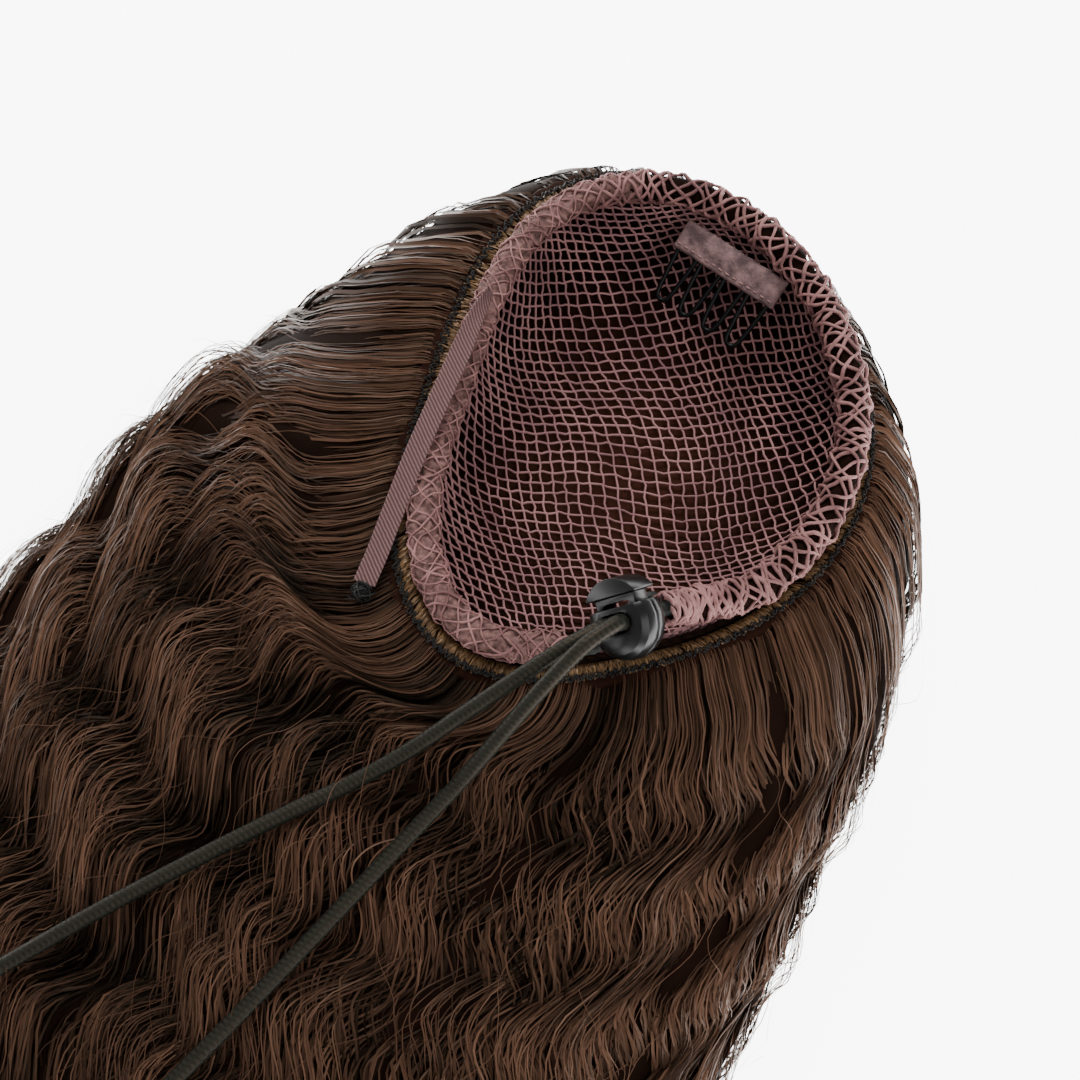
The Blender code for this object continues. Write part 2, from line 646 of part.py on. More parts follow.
def build_hair(collection):
    """Locks fused to one backing that wraps the cup and runs out into a flat tail."""
    rng = np.random.default_rng(11)
    columns = HAIR_LOBES * LOBE_COLUMNS
    k = np.arange(columns)
    theta = k * 2 * np.pi / columns
    lobe = k // LOBE_COLUMNS
    within = k % LOBE_COLUMNS
    depth = np.choose(within, [1.0, 0.25, 0.0, 0.3])
    phase = rng.uniform(0, 2 * np.pi, HAIR_LOBES)[lobe]
    size = rng.uniform(0.7, 1.25, HAIR_LOBES)[lobe]

    rings = []
    for a in np.radians([84, 62, 40, 20, 0.0]):
        ring = cup_point(theta, np.full(columns, a), CUP_WALL / 2 + HAIR_GAP)
        rings.append(ring)
    weft_in, weft_out, underside = weft_station(theta)[:3]
    ledge = underside - LEDGE_DROP
    rings[-1][:, 2] = ledge - 2 * LEDGE_DROP
    rings.append(rim_point(theta, weft_in - LEDGE_DROP, ledge))
    rings.append(rim_point(theta, weft_out + LEDGE_DROP, ledge))
    body = []
    for t in np.linspace(0, 1, SPREAD_ROWS):
        body.append(hair_line(theta, np.full(columns, t)))
    for j in range(1, TAIL_ROWS + 1):
        s = j / TAIL_ROWS
        body.append(section(theta, join_y(theta) * (1 - s) - HAIR_LENGTH * s))
    body = np.array(body)

    run = np.concatenate([[np.zeros(columns)],
                          np.cumsum(np.linalg.norm(np.diff(body, axis=0), axis=2), 0)])
    across = np.roll(body, -1, 1) - np.roll(body, 1, 1)
    down = np.gradient(body, axis=0)
    normal = np.cross(across, down)
    normal = normal / np.linalg.norm(normal, axis=2)[..., None]
    outward = body - np.array([-0.04 * HAIR_WIDTH, 0.0, 0.45 * HAIR_HEIGHT])
    outward[..., 1] = 0.0
    flip = np.sign((normal * outward).sum(2))
    flip[flip == 0] = 1.0
    normal = normal * flip[..., None]
    turn = 2 * np.pi * run / WAVE_LENGTH
    ease = np.clip((turn - 1.7) / 4.8, 0, 1)
    tall = np.clip(station(body[..., 1])[2] / HAIR_HEIGHT, 0, 1)
    fade = np.clip((len(body) - 1 - np.arange(len(body))) / 2.0, 0, 1)[:, None] * tall
    spacing = np.linalg.norm(across, axis=2) / 2
    room = spacing * columns / HAIR_WIDTH
    groove = -GROOVE_DEPTH * depth * size * np.clip(turn / 3.0, 0, 1) * np.clip(room / 2.6, 0.3, 1)
    under = np.where(np.cos(theta) < -0.3, 0.1, 1.0)
    swell = SWELL_DEPTH * (size * np.sin(turn + phase) - 1) * ease
    wave = WAVE_DEPTH * np.sin(turn + phase * 0.4) * ease * np.clip(room / 3.2, 0, 1)
    sideways = across / np.maximum(2 * spacing, 1e-6)[..., None]
    body = body + normal * ((groove + swell) * fade * under)[..., None]
    body[..., 0] += sideways[..., 0] * wave * fade
    body[..., 2] = np.maximum(body[..., 2], 0.0)
    rings = rings + list(body)

    verts = np.array(rings).reshape(-1, 3).tolist()
    faces = []
    for i in range(len(rings) - 1):
        for c in range(columns):
            a = i * columns + c
            b = i * columns + (c + 1) % columns
            faces.append((a, b, b + columns, a + columns))
    pole = cup_point(np.array([0.0]), np.array([np.pi / 2 - 1e-4]), CUP_WALL / 2 + HAIR_GAP)[0]
    verts.append(pole.tolist())
    for c in range(columns):
        faces.append(((c + 1) % columns, c, len(verts) - 1))
    first = (len(rings) - 1) * columns
    half = columns // 2
    quarter = columns // 4
    for j in range(-quarter, quarter, TIP_COLUMNS):
        loop = list(range(j, j + TIP_COLUMNS + 1))
        loop = loop + list(range(half - j - TIP_COLUMNS, half - j + 1))
        loop = list(dict.fromkeys(k % columns for k in loop))
        add_tip(verts, faces, [first + k for k in loop], rng)
    return new_object("hair", verts, faces, collection)


def add_tip(verts, faces, loop, rng):
    """One tapering wavy lock that runs out of the end of the tail."""
    start = np.array([verts[k] for k in loop])
    centre = start.mean(0)
    middle = abs(centre[0] + 0.046 * HAIR_WIDTH) / (0.32 * HAIR_WIDTH)
    high = 1.0 - min(1.0, middle) ** 2
    length = TIP_LENGTH * (0.72 + 0.28 * rng.random() + 0.56 * high)
    sway = 0.36 * np.ptp(start[:, 0])
    turn = rng.uniform(0, 2 * np.pi)
    before = loop
    for s in (0.28, 0.55, 0.8, 1.0):
        taper = 0.82 * s ** 1.5
        shrink = np.array([1 - taper, 1.0, 1 - 0.85 * s])
        ring = centre * [1, 1, 1 - 0.6 * s] + (start - centre) * shrink
        ring[:, 1] -= length * s
        ring[:, 0] += taper * (sway * np.sin(turn + 4.5 * s) - 0.05 * centre[0])
        ring[:, 2] = np.maximum(ring[:, 2], 0.0)
        after = list(range(len(verts), len(verts) + len(loop)))
        verts.extend(ring.tolist())
        for k in range(len(loop)):
            n = (k + 1) % len(loop)
            faces.append((before[k], before[n], after[n], after[k]))
        before = after
    faces.append(tuple(before))


# Cord lock
def build_lock(collection, cutters):
    """Disc with a seam, a flat top for the button and two cord holes in one oblong."""
    u, v, w = lock_axes()
    profile = [
        # shares of the radius and of half the thickness
        (0.575, 1.0), (0.8, 0.882), (0.9375, 0.635), (1.0, 0.259), (0.994, 0.094),
        (0.95, 0.024), (0.994, -0.047), (1.0, -0.259), (0.9375, -0.635), (0.8, -0.882),
        (0.575, -1.0),
    ]
    sides = 20
    angle = np.arange(sides) * 2 * np.pi / sides
    rings = []
    for wide, high in profile:
        flat = np.cos(angle)[:, None] * u + np.sin(angle)[:, None] * v
        rings.append(lock_centre() + w * LOCK_HALF_THICKNESS * high + LOCK_RADIUS * wide * flat)
    verts, faces = loft(rings)
    body = new_object("lock_body", verts, faces, collection)
    edge = LOCK_RADIUS + 1.0
    flat = [(-edge, LOCK_FLAT), (edge, LOCK_FLAT), (edge, edge), (-edge, edge)]
    plate_boolean(body, "top_flat", flat, LOCK_HALF_THICKNESS + 1.75, "DIFFERENCE", cutters)
    pocket = stem_outline(STEM_HALF_WIDTH + SLIDE_CLEARANCE, LOCK_FLAT + 0.8,
                          BUTTON_TRAVEL + SLIDE_CLEARANCE)
    plate_boolean(body, "pocket", pocket, STEM_HALF_THICKNESS + SLIDE_CLEARANCE,
                  "DIFFERENCE", cutters)
    slot_cut(body, "cord_holes", 0.0, cutters)
    tidy_mesh(body)
    return body


def stem_outline(half, top, drop):
    """Stem with two sloped lower corners, its lower end moved down by drop."""
    narrow = half - STEM_HALF_WIDTH * 0.32
    corner = 2.8 - STEM_DEPTH - drop + 0.4 * min(drop, 0.5)
    low = -STEM_DEPTH - drop
    return [(-half, top), (-half, corner), (-narrow, low), (narrow, low), (half, corner),
            (half, top)]


def plate_boolean(obj, name, outline, half, operation, cutters):
    """Join or cut a flat plate, given by its outline in u and v and half its thickness."""
    rings = []
    for along in (-half, half):
        rings.append([lock_point(a, b, along) for a, b in outline])
    verts, faces = loft(rings)
    plate = new_object(name, verts, faces, cutters)
    boolean(obj, plate, operation, cutters)


def slot_cut(obj, name, stretch, cutters):
    """Oblong hole for the two cords, right through along w; stretch makes it longer along v."""
    outline = []
    for side, start in ((-1, np.pi / 2), (1, -np.pi / 2)):
        for k in range(7):
            a = start + k * np.pi / 6
            upper = (k < 3) == (side < 0)
            outline.append((side * HOLE_SPACING / 2 + HOLE_RADIUS * np.cos(a),
                            (stretch if upper else 0.0) + HOLE_RADIUS * np.sin(a)))
    rings = []
    for along in (-LOCK_RADIUS, LOCK_RADIUS):
        rings.append([lock_point(a, b, along) for a, b in outline])
    verts, faces = loft(rings)
    cutter = new_object(name, verts, faces, cutters)
    boolean(obj, cutter, "DIFFERENCE", cutters)


def build_button(collection, cutters):
    """Arc-shaped head on a flat stem, with a long slot that the cords pass through."""
    head = []
    for k in range(9):
        a = np.radians(36 + k * 13.5)
        head.append((LOCK_RADIUS * np.cos(a), HEAD_RISE + LOCK_RADIUS * np.sin(a)))
    head = head + [(-0.8 * LOCK_RADIUS, HEAD_BASE), (0.8 * LOCK_RADIUS, HEAD_BASE)]
    rings = []
    for along in (-HEAD_HALF_THICKNESS, HEAD_HALF_THICKNESS):
        rings.append([lock_point(a, b, along) for a, b in head])
    verts, faces = loft(rings)
    button = new_object("lock_button", verts, faces, collection)
    stem = stem_outline(STEM_HALF_WIDTH, HEAD_BASE + 1.0, 0.0)
    plate_boolean(button, "button_stem", stem, STEM_HALF_THICKNESS, "UNION", cutters)
    slot_cut(button, "stem_slot", BUTTON_TRAVEL, cutters)
    tidy_mesh(button)
    return button


# Comb
def comb_frame():
    """Middle of the tape, the way along it, the way the teeth point, and its normal."""
    centre = rim_point(np.radians(COMB_ANGLE), -COMB_INSET, RIM_HEIGHT - COMB_DROP)
    along = np.array([0.985, -0.09, 0.0])
    along = along / np.linalg.norm(along)
    teeth = np.array([0.04, -0.80, -0.60])
    teeth = teeth - along * (teeth @ along)
    teeth = teeth / np.linalg.norm(teeth)
    return centre, along, teeth, np.cross(teeth, along)


def build_comb(collection):
    centre, along, teeth = comb_frame()[:3]
    half = COMB_LOOP_WIDTH / 2
    top = -0.19 * TAPE_WIDTH
    route = []
    for i in range(COMB_LOOPS):
        middle = (i - (COMB_LOOPS - 1) / 2) * COMB_PITCH
        route.append((middle - half, top))
        route.append((middle - half, COMB_TOOTH - 0.8))
        for a in (150, 110, 70, 30):
            r = np.radians(a)
            route.append((middle + half * np.cos(r), COMB_TOOTH + half * np.sin(r)))
        route.append((middle + half, COMB_TOOTH - 0.8))
        route.append((middle + half, top))
    path = np.array([centre + along * a + teeth * b for a, b in route])
    return tube("comb_wire", path, COMB_WIRE_RADIUS, collection, 1)


def build_tape(collection):
    """Folded tape round the top of the wire: closed above, open toward the teeth."""
    centre, along, teeth, normal = comb_frame()
    inner = COMB_WIRE_RADIUS + TAPE_CLEARANCE
    wall = TAPE_WALL
    outer = inner + wall
    high = -TAPE_WIDTH * 0.53
    low = TAPE_WIDTH * 0.47
    outline = [
        (low, outer), (high + 0.66 * wall, outer), (high, inner + 0.2 * wall),
        (high, -inner - 0.2 * wall), (high + 0.66 * wall, -outer), (low, -outer), (low, -inner), (high + wall, -inner),
        (high + wall, inner), (low, inner),
    ]
    rings = []
    for a in (-0.5 * TAPE_LENGTH, 0.5 * TAPE_LENGTH):
        rings.append([centre + along * a + teeth * b + normal * c for b, c in outline])
    verts, faces = loft(rings)
    return new_object("comb_tape", verts, faces, collection)


# Strap
def build_strap(collection):
    """Flat tape lying over the left of the rim and on the hair, half turned at its top."""
    over = RIM_HEIGHT + BAND_RADIUS
    route = [rim_point(np.radians(a), out, over + lift) for a, out, lift in STRAP_ROUTE]
    path = smooth_curve(route, 0.92 * STRAP_WIDTH)
    tangent, side, up = frames(path)
    s = np.linspace(0, 1, len(path))
    roll = np.radians(70.0) * np.clip(1 - s / 0.28, 0, 1) ** 1.5
    wide = STRAP_WIDTH * (0.62 + 0.38 * np.clip(s / 0.25, 0, 1)) * 0.5
    across = side * np.cos(roll)[:, None] + up * np.sin(roll)[:, None]
    thick = np.cross(across, tangent)
    path = path + up * (wide * np.sin(roll))[:, None] * 0.75
    half = STRAP_THICKNESS / 2
    rings = np.stack([
        path + across * wide[:, None] + thick * half,
        path - across * wide[:, None] + thick * half,
        path - across * wide[:, None] - thick * half,
        path + across * wide[:, None] - thick * half,
    ], 1)
    verts, faces = loft(rings)
    return new_object("loop_strap", verts, faces, collection)


def main():
    for obj in list(bpy.data.objects):
        bpy.data.objects.remove(obj)
    scene = bpy.context.scene
    parts = bpy.data.collections.new("ponytail_hairpiece")
    cutters = bpy.data.collections.new("cutters")
    scene.collection.children.link(parts)
    scene.collection.children.link(cutters)

    hair = build_hair(parts)
    weft = build_weft(parts)
    cup = build_net_cup(parts)
    casing = build_casing(parts)
    loop = build_drawcord_loop(parts)
    tails = build_tails(parts)
    lock = build_lock(parts, cutters)
    button = build_button(parts, cutters)
    comb = build_comb(parts)
    tape = build_tape(parts)
    strap = build_strap(parts)

    for obj in [hair, casing, loop, lock, comb, *tails]:
        shade(obj, 48)

    material(hair, "hair", (0.045, 0.024, 0.015), 0.45)
    material(weft, "weft", (0.030, 0.018, 0.012), 0.7)
    material(cup, "net", (0.30, 0.15, 0.15), 0.75)
    material(casing, "casing", (0.32, 0.16, 0.16), 0.75)
    material(loop, "drawcord", (0.012, 0.012, 0.011), 0.7)
    for obj in tails:
        material(obj, obj.name, (0.014, 0.016, 0.014), 0.7)
    material(lock, "lock_body", (0.012, 0.012, 0.013), 0.38)
    material(button, "lock_button", (0.014, 0.014, 0.015), 0.42)
    material(comb, "comb_wire", (0.008, 0.008, 0.009), 0.3)
    material(tape, "comb_tape", (0.36, 0.19, 0.18), 0.8)
    material(strap, "strap", (0.34, 0.20, 0.18), 0.8)


main()
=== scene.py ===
"""Drawstring ponytail hairpiece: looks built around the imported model, in metres."""

import bpy
import numpy as np
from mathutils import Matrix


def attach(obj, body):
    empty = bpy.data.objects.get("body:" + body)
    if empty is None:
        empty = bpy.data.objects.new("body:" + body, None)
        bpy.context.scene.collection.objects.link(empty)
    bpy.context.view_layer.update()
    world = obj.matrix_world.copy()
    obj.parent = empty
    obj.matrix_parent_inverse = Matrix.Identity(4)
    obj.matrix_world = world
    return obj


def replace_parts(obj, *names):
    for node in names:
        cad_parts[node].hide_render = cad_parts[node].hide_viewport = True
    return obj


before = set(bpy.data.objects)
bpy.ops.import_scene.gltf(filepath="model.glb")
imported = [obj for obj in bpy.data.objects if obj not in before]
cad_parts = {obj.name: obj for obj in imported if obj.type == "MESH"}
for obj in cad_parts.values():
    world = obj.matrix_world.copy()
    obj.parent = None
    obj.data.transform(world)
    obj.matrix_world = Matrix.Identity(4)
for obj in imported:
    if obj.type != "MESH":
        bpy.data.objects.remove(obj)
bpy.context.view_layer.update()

# Lengths in the functions below are millimetres, turned into metres by MM.
MM = 0.001
TURN = 2 * np.pi
UP = np.array([0.0, 0.0, 1.0])

# Rim, cup, weft and hair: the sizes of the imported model.
RIM_HALF_WIDTH = 45.3
RIM_HALF_LENGTH = 62.2
RIM_EGG = -0.115
RIM_TURN = 0.165
RIM_CENTRE = np.array([-1.812, 0.703])
RIM_HEIGHT = 48.0
RIM_WAVES = np.array([(0, -0.0097, 0.0), (2, -0.0044, 0.0170),
                      (3, -0.0011, -0.0801), (4, -0.0084, -0.0150)])
CUP_TOP = 44.2
CUP_DEPTH = 34.0
CUP_ROUNDNESS = 0.85
CUP_FOLD = 1.3
CORD_RADIUS = 1.7
HAIR_WIDTH = 195.0
HAIR_HEIGHT = 44.0
HAIR_LENGTH = 258.0
HAIR_REACH = 46.0
WEFT_INSET = 4.0
WEFT_WIDTH = 6.0
WEFT_DROP = 4.0
LOCK_ANGLE = 30.43
LOCK_OUTSIDE = 0.1
LOCK_LIFT = 10.4
LOCK_W = np.array([-0.292, -0.7115, 0.6386])
LOCK_V = np.array([-0.7285, 0.5975, 0.3325])

# angle, then shares of the inner edge, the width, the drop and the reach of the hair
WEFT_STATIONS = np.array([
    (-180, 0.625, 0.483, 1.90, 0.652), (-160, 0.800, 0.633, 1.40, 0.826),
    (-140, 1.000, 0.933, 1.00, 1.000), (-110, 1.000, 1.000, 1.00, 0.913),
    (-60, 1.000, 1.000, 1.00, 0.609), (0, 1.000, 0.833, 1.00, 0.261),
    (50, 1.000, 0.733, 1.05, 0.326), (85, 0.975, 0.617, 1.20, 0.326),
    (110, 0.800, 0.500, 1.50, 0.370), (135, 0.650, 0.467, 1.80, 0.478),
    (180, 0.625, 0.483, 1.90, 0.652)])

# share of the length, left and right as shares of the width, top and level of the height
TAIL_STATIONS = np.array([
    (-0.039, 0.4923, 0.3692, 1.000, 0.318), (0.078, 0.5282, 0.3949, 1.000, 0.318),
    (0.194, 0.5487, 0.4205, 0.995, 0.295), (0.310, 0.5333, 0.4410, 0.977, 0.273),
    (0.426, 0.5436, 0.4462, 0.955, 0.250), (0.581, 0.5333, 0.4513, 0.898, 0.227),
    (0.736, 0.4923, 0.4103, 0.807, 0.205), (0.872, 0.4359, 0.3436, 0.682, 0.182),
    (0.988, 0.3538, 0.2513, 0.545, 0.159), (1.085, 0.2974, 0.1949, 0.409, 0.136),
    (1.210, 0.2400, 0.1500, 0.240, 0.100)])

# to the right of the lock's middle, toward the far end, above the top of the hair
LEFT_TAIL = np.array([
    (-6.8, -12.9, 17.9), (-11.8, -23.1, 15.3), (-17.6, -34.1, 10.2), (-23.2, -44.7, 5.3),
    (-29.6, -56.3, 2.9), (-37.6, -69.5, 2.2), (-46.6, -85.5, 2.0), (-56.6, -104.5, 2.0),
    (-65.5, -122.4, 1.9), (-73.4, -138.3, 1.8)])
RIGHT_TAIL = np.array([
    (-3.2, -11.7, 21.4), (-5.8, -22.1, 17.7), (-8.3, -32.9, 11.6), (-10.6, -43.3, 5.9),
    (-12.9, -54.3, 3.1), (-14.9, -66.3, 2.3), (-17.3, -81.4, 2.1), (-20.4, -100.4, 2.1),
    (-23.8, -118.4, 2.0), (-26.8, -132.4, 1.9)])

# angle round the rim, distance outside it, height over the top of the gathered band
STRAP_ROUTE = np.array([
    (-103.1, -0.8, 1.35), (-93.1, 0.1, 2.15), (-82.0, 0.9, 2.35), (-70.3, 1.9, 2.15),
    (-60.5, 3.6, 1.15), (-50.8, 6.9, -1.45), (-43.8, 11.1, -3.25), (-39.3, 15.4, -4.05)])

# Sizes of the scene's own pieces
CORD_STEP = 0.3
CORD_SIDES = 16
PLAIT_LENGTH = 1.15
PLAIT_RIBS = 3
COLUMNS = 288
ROWS = 140
FORM_REACH = 308.0
WAVE_LENGTH = 31.5
WAVE_SWAY = 4.0
WAVE_LIFT = 1.7
SIDE_RISE = 3.0
LOCK_MOUND = 3.6
FLYAWAYS = 170
NET_PITCH = 2.15
NET_THREAD = 0.33
NET_REACH = 70
ROLL_RADIUS = 3.15
ROLL_STARTS = 5
GATHER_START = 0.52
WEFT_COLUMNS = 720
WEFT_LOOPS = 2300
STRAP_HALF_WIDTH = 2.5
STRAP_HALF_THICK = 0.36
KNOT_THREADS = 26
TOOTH_PITCH = 7.0
TOOTH_RADIUS = 0.6
TIP_RADIUS = 1.6
TIP_REACH = 14.6
TAPE_HALF_LENGTH = 14.75
TAPE_HALF_WIDTH = 3.75
TAPE_HALF_THICK = 1.75
LOCK_ROUNDING = 0.4
FLOOR_GLOW = 7.5
SURROUND_GLOW = 0.6

# locks, strands in each, depth, width, points along a strand, lowest and highest tint; deeper
# layers get lower tints as painted shade
LAYERS = {"under": (18, 30, -3.8, 0.6, 66, 0.0, 0.1),
          "middle": (11, 44, -2.8, 0.4, 80, 0.0, 0.25),
          "over": (9, 58, -1.3, 0.28, 86, 0.0, 0.45)}
FAR_LAYER = (24, 30, -0.3, 0.8, 52, 0.0, 0.35)
LAYER_SIDES = {"left": (-105, 0), "right": (0, 105)}
FAR_SIDE = (98, 262)


# Small helpers
def turn(count):
    """Even angles round a ring."""
    return np.arange(count) * TURN / count


def unit(v):
    """Vectors scaled to length one."""
    return v / np.maximum(np.linalg.norm(v, axis=-1), 1e-9)[..., None]


def ease(x):
    """Smooth step: 0 below 0, 1 above 1."""
    x = np.clip(x, 0, 1)
    return x * x * (3 - 2 * x)


def rounded(wave, power):
    """A wave with its sign kept and its size raised to a power."""
    return np.sign(wave) * np.abs(wave) ** power


def along_path(at, run, values):
    """Values of a path, three to a point, read at given distances along it."""
    return np.stack([np.interp(at, run, values[:, k]) for k in range(3)], -1)


def arc_length(path):
    """Distance run along a path at each of its points."""
    steps = np.linalg.norm(np.diff(path, axis=0), axis=-1)
    return np.concatenate([np.zeros((1,) + steps.shape[1:]), np.cumsum(steps, 0)])


def smooth_curve(points, step):
    """Catmull-Rom curve through the points, cut into even steps."""
    p = np.asarray(points, float)
    ext = np.vstack([2 * p[0] - p[1], p, 2 * p[-1] - p[-2]])
    a, b, c, d = ext[:-3, None], ext[1:-2, None], ext[2:-1, None], ext[3:, None]
    u = np.linspace(0, 1, 24, endpoint=False)[None, :, None]
    fine = 0.5 * (2 * b + (c - a) * u + (2 * a - 5 * b + 4 * c - d) * u ** 2
                  + (3 * b - a - 3 * c + d) * u ** 3)
    fine = np.vstack([fine.reshape(-1, 3), p[-1:]])
    run = arc_length(fine)
    at = np.linspace(0, run[-1], max(2, int(round(run[-1] / step)) + 1))
    return along_path(at, run, fine)


def side_and_up(tangent):
    """Level direction across a path, and the one square to both."""
    side = unit(np.cross(tangent, UP))
    return side, np.cross(side, tangent)


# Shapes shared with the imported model
def rim_point(theta, offset=0.0, z=RIM_HEIGHT):
    """Egg-shaped oval turned about the vertical, widened by offset plus a few waves."""
    theta = np.asarray(theta, float)
    for waves, cosine, sine in RIM_WAVES:
        offset = offset + RIM_HALF_WIDTH * (cosine * np.cos(waves * theta)
                                            + sine * np.sin(waves * theta))
    across = (RIM_HALF_WIDTH + offset) * (1 + RIM_EGG * np.cos(theta)) * np.sin(theta)
    along = -(RIM_HALF_LENGTH + offset) * np.cos(theta)
    c, s = np.cos(RIM_TURN), np.sin(RIM_TURN)
    x = RIM_CENTRE[0] + c * across - s * along
    y = RIM_CENTRE[1] + s * across + c * along
    return np.stack([x, y, np.broadcast_to(z, x.shape)], -1)


def cup_point(theta, a, grow=0.0):
    """Bowl: its plan shrinks as a power of cos(a) while it sinks as sin(a), plus folds."""
    across = np.cos(a) ** CUP_ROUNDNESS
    fold = CUP_FOLD * np.sin(a) * np.cos(a) * (np.sin(4 * theta + 3 * a)
                                               + 0.6 * np.sin(7 * theta - 2 * a + 1.0))
    grow = grow + fold
    plan = rim_point(theta)[..., :2] - RIM_CENTRE
    reach = np.linalg.norm(plan, axis=-1)
    xy = RIM_CENTRE + plan * (across * (1 + np.cos(a) * grow / reach))[..., None]
    z = CUP_TOP - CUP_DEPTH * np.sin(a) - np.sin(a) * grow
    return np.concatenate([xy, z[..., None]], -1)


def weft_station(theta):
    """Inner edge, outer edge, underside and reach of the hair, smoothed round the rim."""
    degrees = (np.degrees(theta) + 180.0) % 360.0 - 180.0
    shares = []
    for column in range(1, 5):
        total = 0.0
        for shift in (-14.0, 0.0, 14.0):
            at = (degrees + shift + 180.0) % 360.0 - 180.0
            total = total + np.interp(at, WEFT_STATIONS[:, 0], WEFT_STATIONS[:, column]) / 3
        shares.append(total)
    inner = WEFT_INSET * shares[0]
    return (inner, inner + WEFT_WIDTH * shares[1], RIM_HEIGHT - WEFT_DROP * shares[2],
            HAIR_REACH * shares[3])


def station(y):
    """Left side, right side, top and level of the widest place at y."""
    share = -np.asarray(y) / HAIR_LENGTH
    scale = (-HAIR_WIDTH, HAIR_WIDTH, HAIR_HEIGHT, HAIR_HEIGHT)
    return [np.interp(share, TAIL_STATIONS[:, 0], TAIL_STATIONS[:, k + 1]) * scale[k]
            for k in range(4)]


def section(psi, y):
    """Flattened oval across the tail at y; psi is 0 at the top middle."""
    left, right, top, level = station(y)
    c = np.cos(psi)
    x = 0.5 * (left + right) + 0.5 * (right - left) * rounded(np.sin(psi), 1.05)
    above = level + (top - level) * np.abs(c) ** 0.66
    below = level - (level + 0.16 * HAIR_HEIGHT) * np.abs(c) ** 0.5
    return np.stack(np.broadcast_arrays(x, y, np.where(c > 0, above, below)), -1)


def join_y(theta):
    """Where each line of hair has joined the tail: later for the near side."""
    return -RIM_HALF_LENGTH * (0.482 + 1.061 * (0.5 + 0.5 * np.cos(theta)) ** 1.5)


def hair_line(theta, t):
    """Cubic Bezier from the weft's outer edge to the section where the tail starts."""
    near = 0.5 + 0.5 * np.cos(theta)
    outer, low, reach = weft_station(theta)[1:]
    p0 = rim_point(theta, outer + 0.8, low + 1.6)
    d = unit(rim_point(theta, 6.0) - rim_point(theta))
    d[..., 1] -= 0.75 * np.abs(np.sin(theta)) ** 0.8
    d[..., 2] += 0.10 - 0.95 * (1 - near) ** 1.6
    p1 = p0 + unit(d) * reach[..., None]
    p3 = section(theta, join_y(theta))
    p2 = p3.copy()
    p2[..., 1] += RIM_HALF_LENGTH * (0.16 + 0.386 * np.abs(np.sin(theta))
                                     + 0.997 * (1 - near) ** 2)
    return (p0 * (1 - t) ** 3 + 3 * p1 * t * (1 - t) ** 2
            + 3 * p2 * t ** 2 * (1 - t) + p3 * t ** 3)


def lock_point(along_u, along_v, along_w):
    """Middle of the cord lock plus three distances along its own axes."""
    w = unit(LOCK_W)
    v = unit(LOCK_V - w * (LOCK_V @ w))
    return LOCK_CENTRE + np.cross(v, w) * along_u + v * along_v + w * along_w


# Meshes from whole arrays
def piece(name, verts, faces, finish, tint=None, uv=None):
    """Mesh of points in millimetres and faces with equal corner counts, riding on the body."""
    verts = np.asarray(verts, float).reshape(-1, 3) * MM
    faces = np.asarray(faces, np.int32)
    corners = faces.shape[1]
    mesh = bpy.data.meshes.new(name)
    mesh.vertices.add(len(verts))
    mesh.vertices.foreach_set("co", verts.ravel())
    mesh.loops.add(faces.size)
    mesh.loops.foreach_set("vertex_index", faces.ravel())
    mesh.polygons.add(len(faces))
    mesh.polygons.foreach_set("loop_start", np.arange(0, faces.size, corners, dtype=np.int32))
    mesh.update(calc_edges=True)
    mesh.polygons.foreach_set("use_smooth", np.ones(len(faces), bool))
    if tint is not None:
        layer = mesh.attributes.new("tint", "FLOAT", "POINT")
        layer.data.foreach_set("value", np.asarray(tint, np.float32).ravel())
    if uv is not None:
        layer = mesh.uv_layers.new(name="UVMap")
        corner_uv = np.asarray(uv, np.float32).reshape(-1, 2)[faces.ravel()]
        layer.data.foreach_set("uv", corner_uv.ravel())
    mesh.materials.append(finish)
    obj = bpy.data.objects.new(name, mesh)
    bpy.context.scene.collection.objects.link(obj)
    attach(obj, "hairpiece")
    return obj


def grid_faces(rows, columns, wrap=False):
    """Four-cornered faces of a grid of points; wrap joins the last column to the first."""
    i, k = np.meshgrid(np.arange(rows - 1), np.arange(columns if wrap else columns - 1),
                       indexing="ij")
    a, b = i * columns + k, i * columns + (k + 1) % columns
    return np.stack([a, b, b + columns, a + columns], -1).reshape(-1, 4)


def repeated(faces, count, points):
    """The same faces for each of count copies that have this many points."""
    return faces[None] + (np.arange(count) * points)[:, None, None]


def ribbons(paths, facing, width):
    """Flat strips: each path point moved half the width to either side of its line."""
    side = unit(np.cross(np.gradient(paths, axis=1), facing))
    half = np.broadcast_to(width, paths.shape[:2])[..., None] / 2
    verts = np.stack([paths - side * half, paths + side * half], 2)
    strips, steps = paths.shape[:2]
    faces = repeated(grid_faces(steps, 2), strips, steps * 2)
    return verts.reshape(-1, 3), faces.reshape(-1, 4)


def tubes(paths, facing, radius, sides, keep=None):
    """Round threads: a ring of points round each path point, drawn to a point at both ends;
    keep masks path points out."""
    tangent = np.gradient(paths, axis=1)
    across = unit(np.cross(tangent, facing))
    up = unit(np.cross(across, tangent))
    cos, sin = np.cos(turn(sides))[:, None], np.sin(turn(sides))[:, None]
    half = np.broadcast_to(radius, paths.shape[:2])[..., None, None]
    ring = (across[:, :, None] * cos + up[:, :, None] * sin) * half
    ring[:, [0, -1]] = 0.0
    verts = paths[:, :, None] + ring
    count, steps = paths.shape[:2]
    faces = repeated(grid_faces(steps, sides, wrap=True), count, steps * sides)
    if keep is not None:
        both = np.repeat((keep[:, 1:] & keep[:, :-1])[:, :, None], sides, 2)
        faces = faces[both.reshape(count, -1)]
    return verts.reshape(-1, 3), faces.reshape(-1, 4)


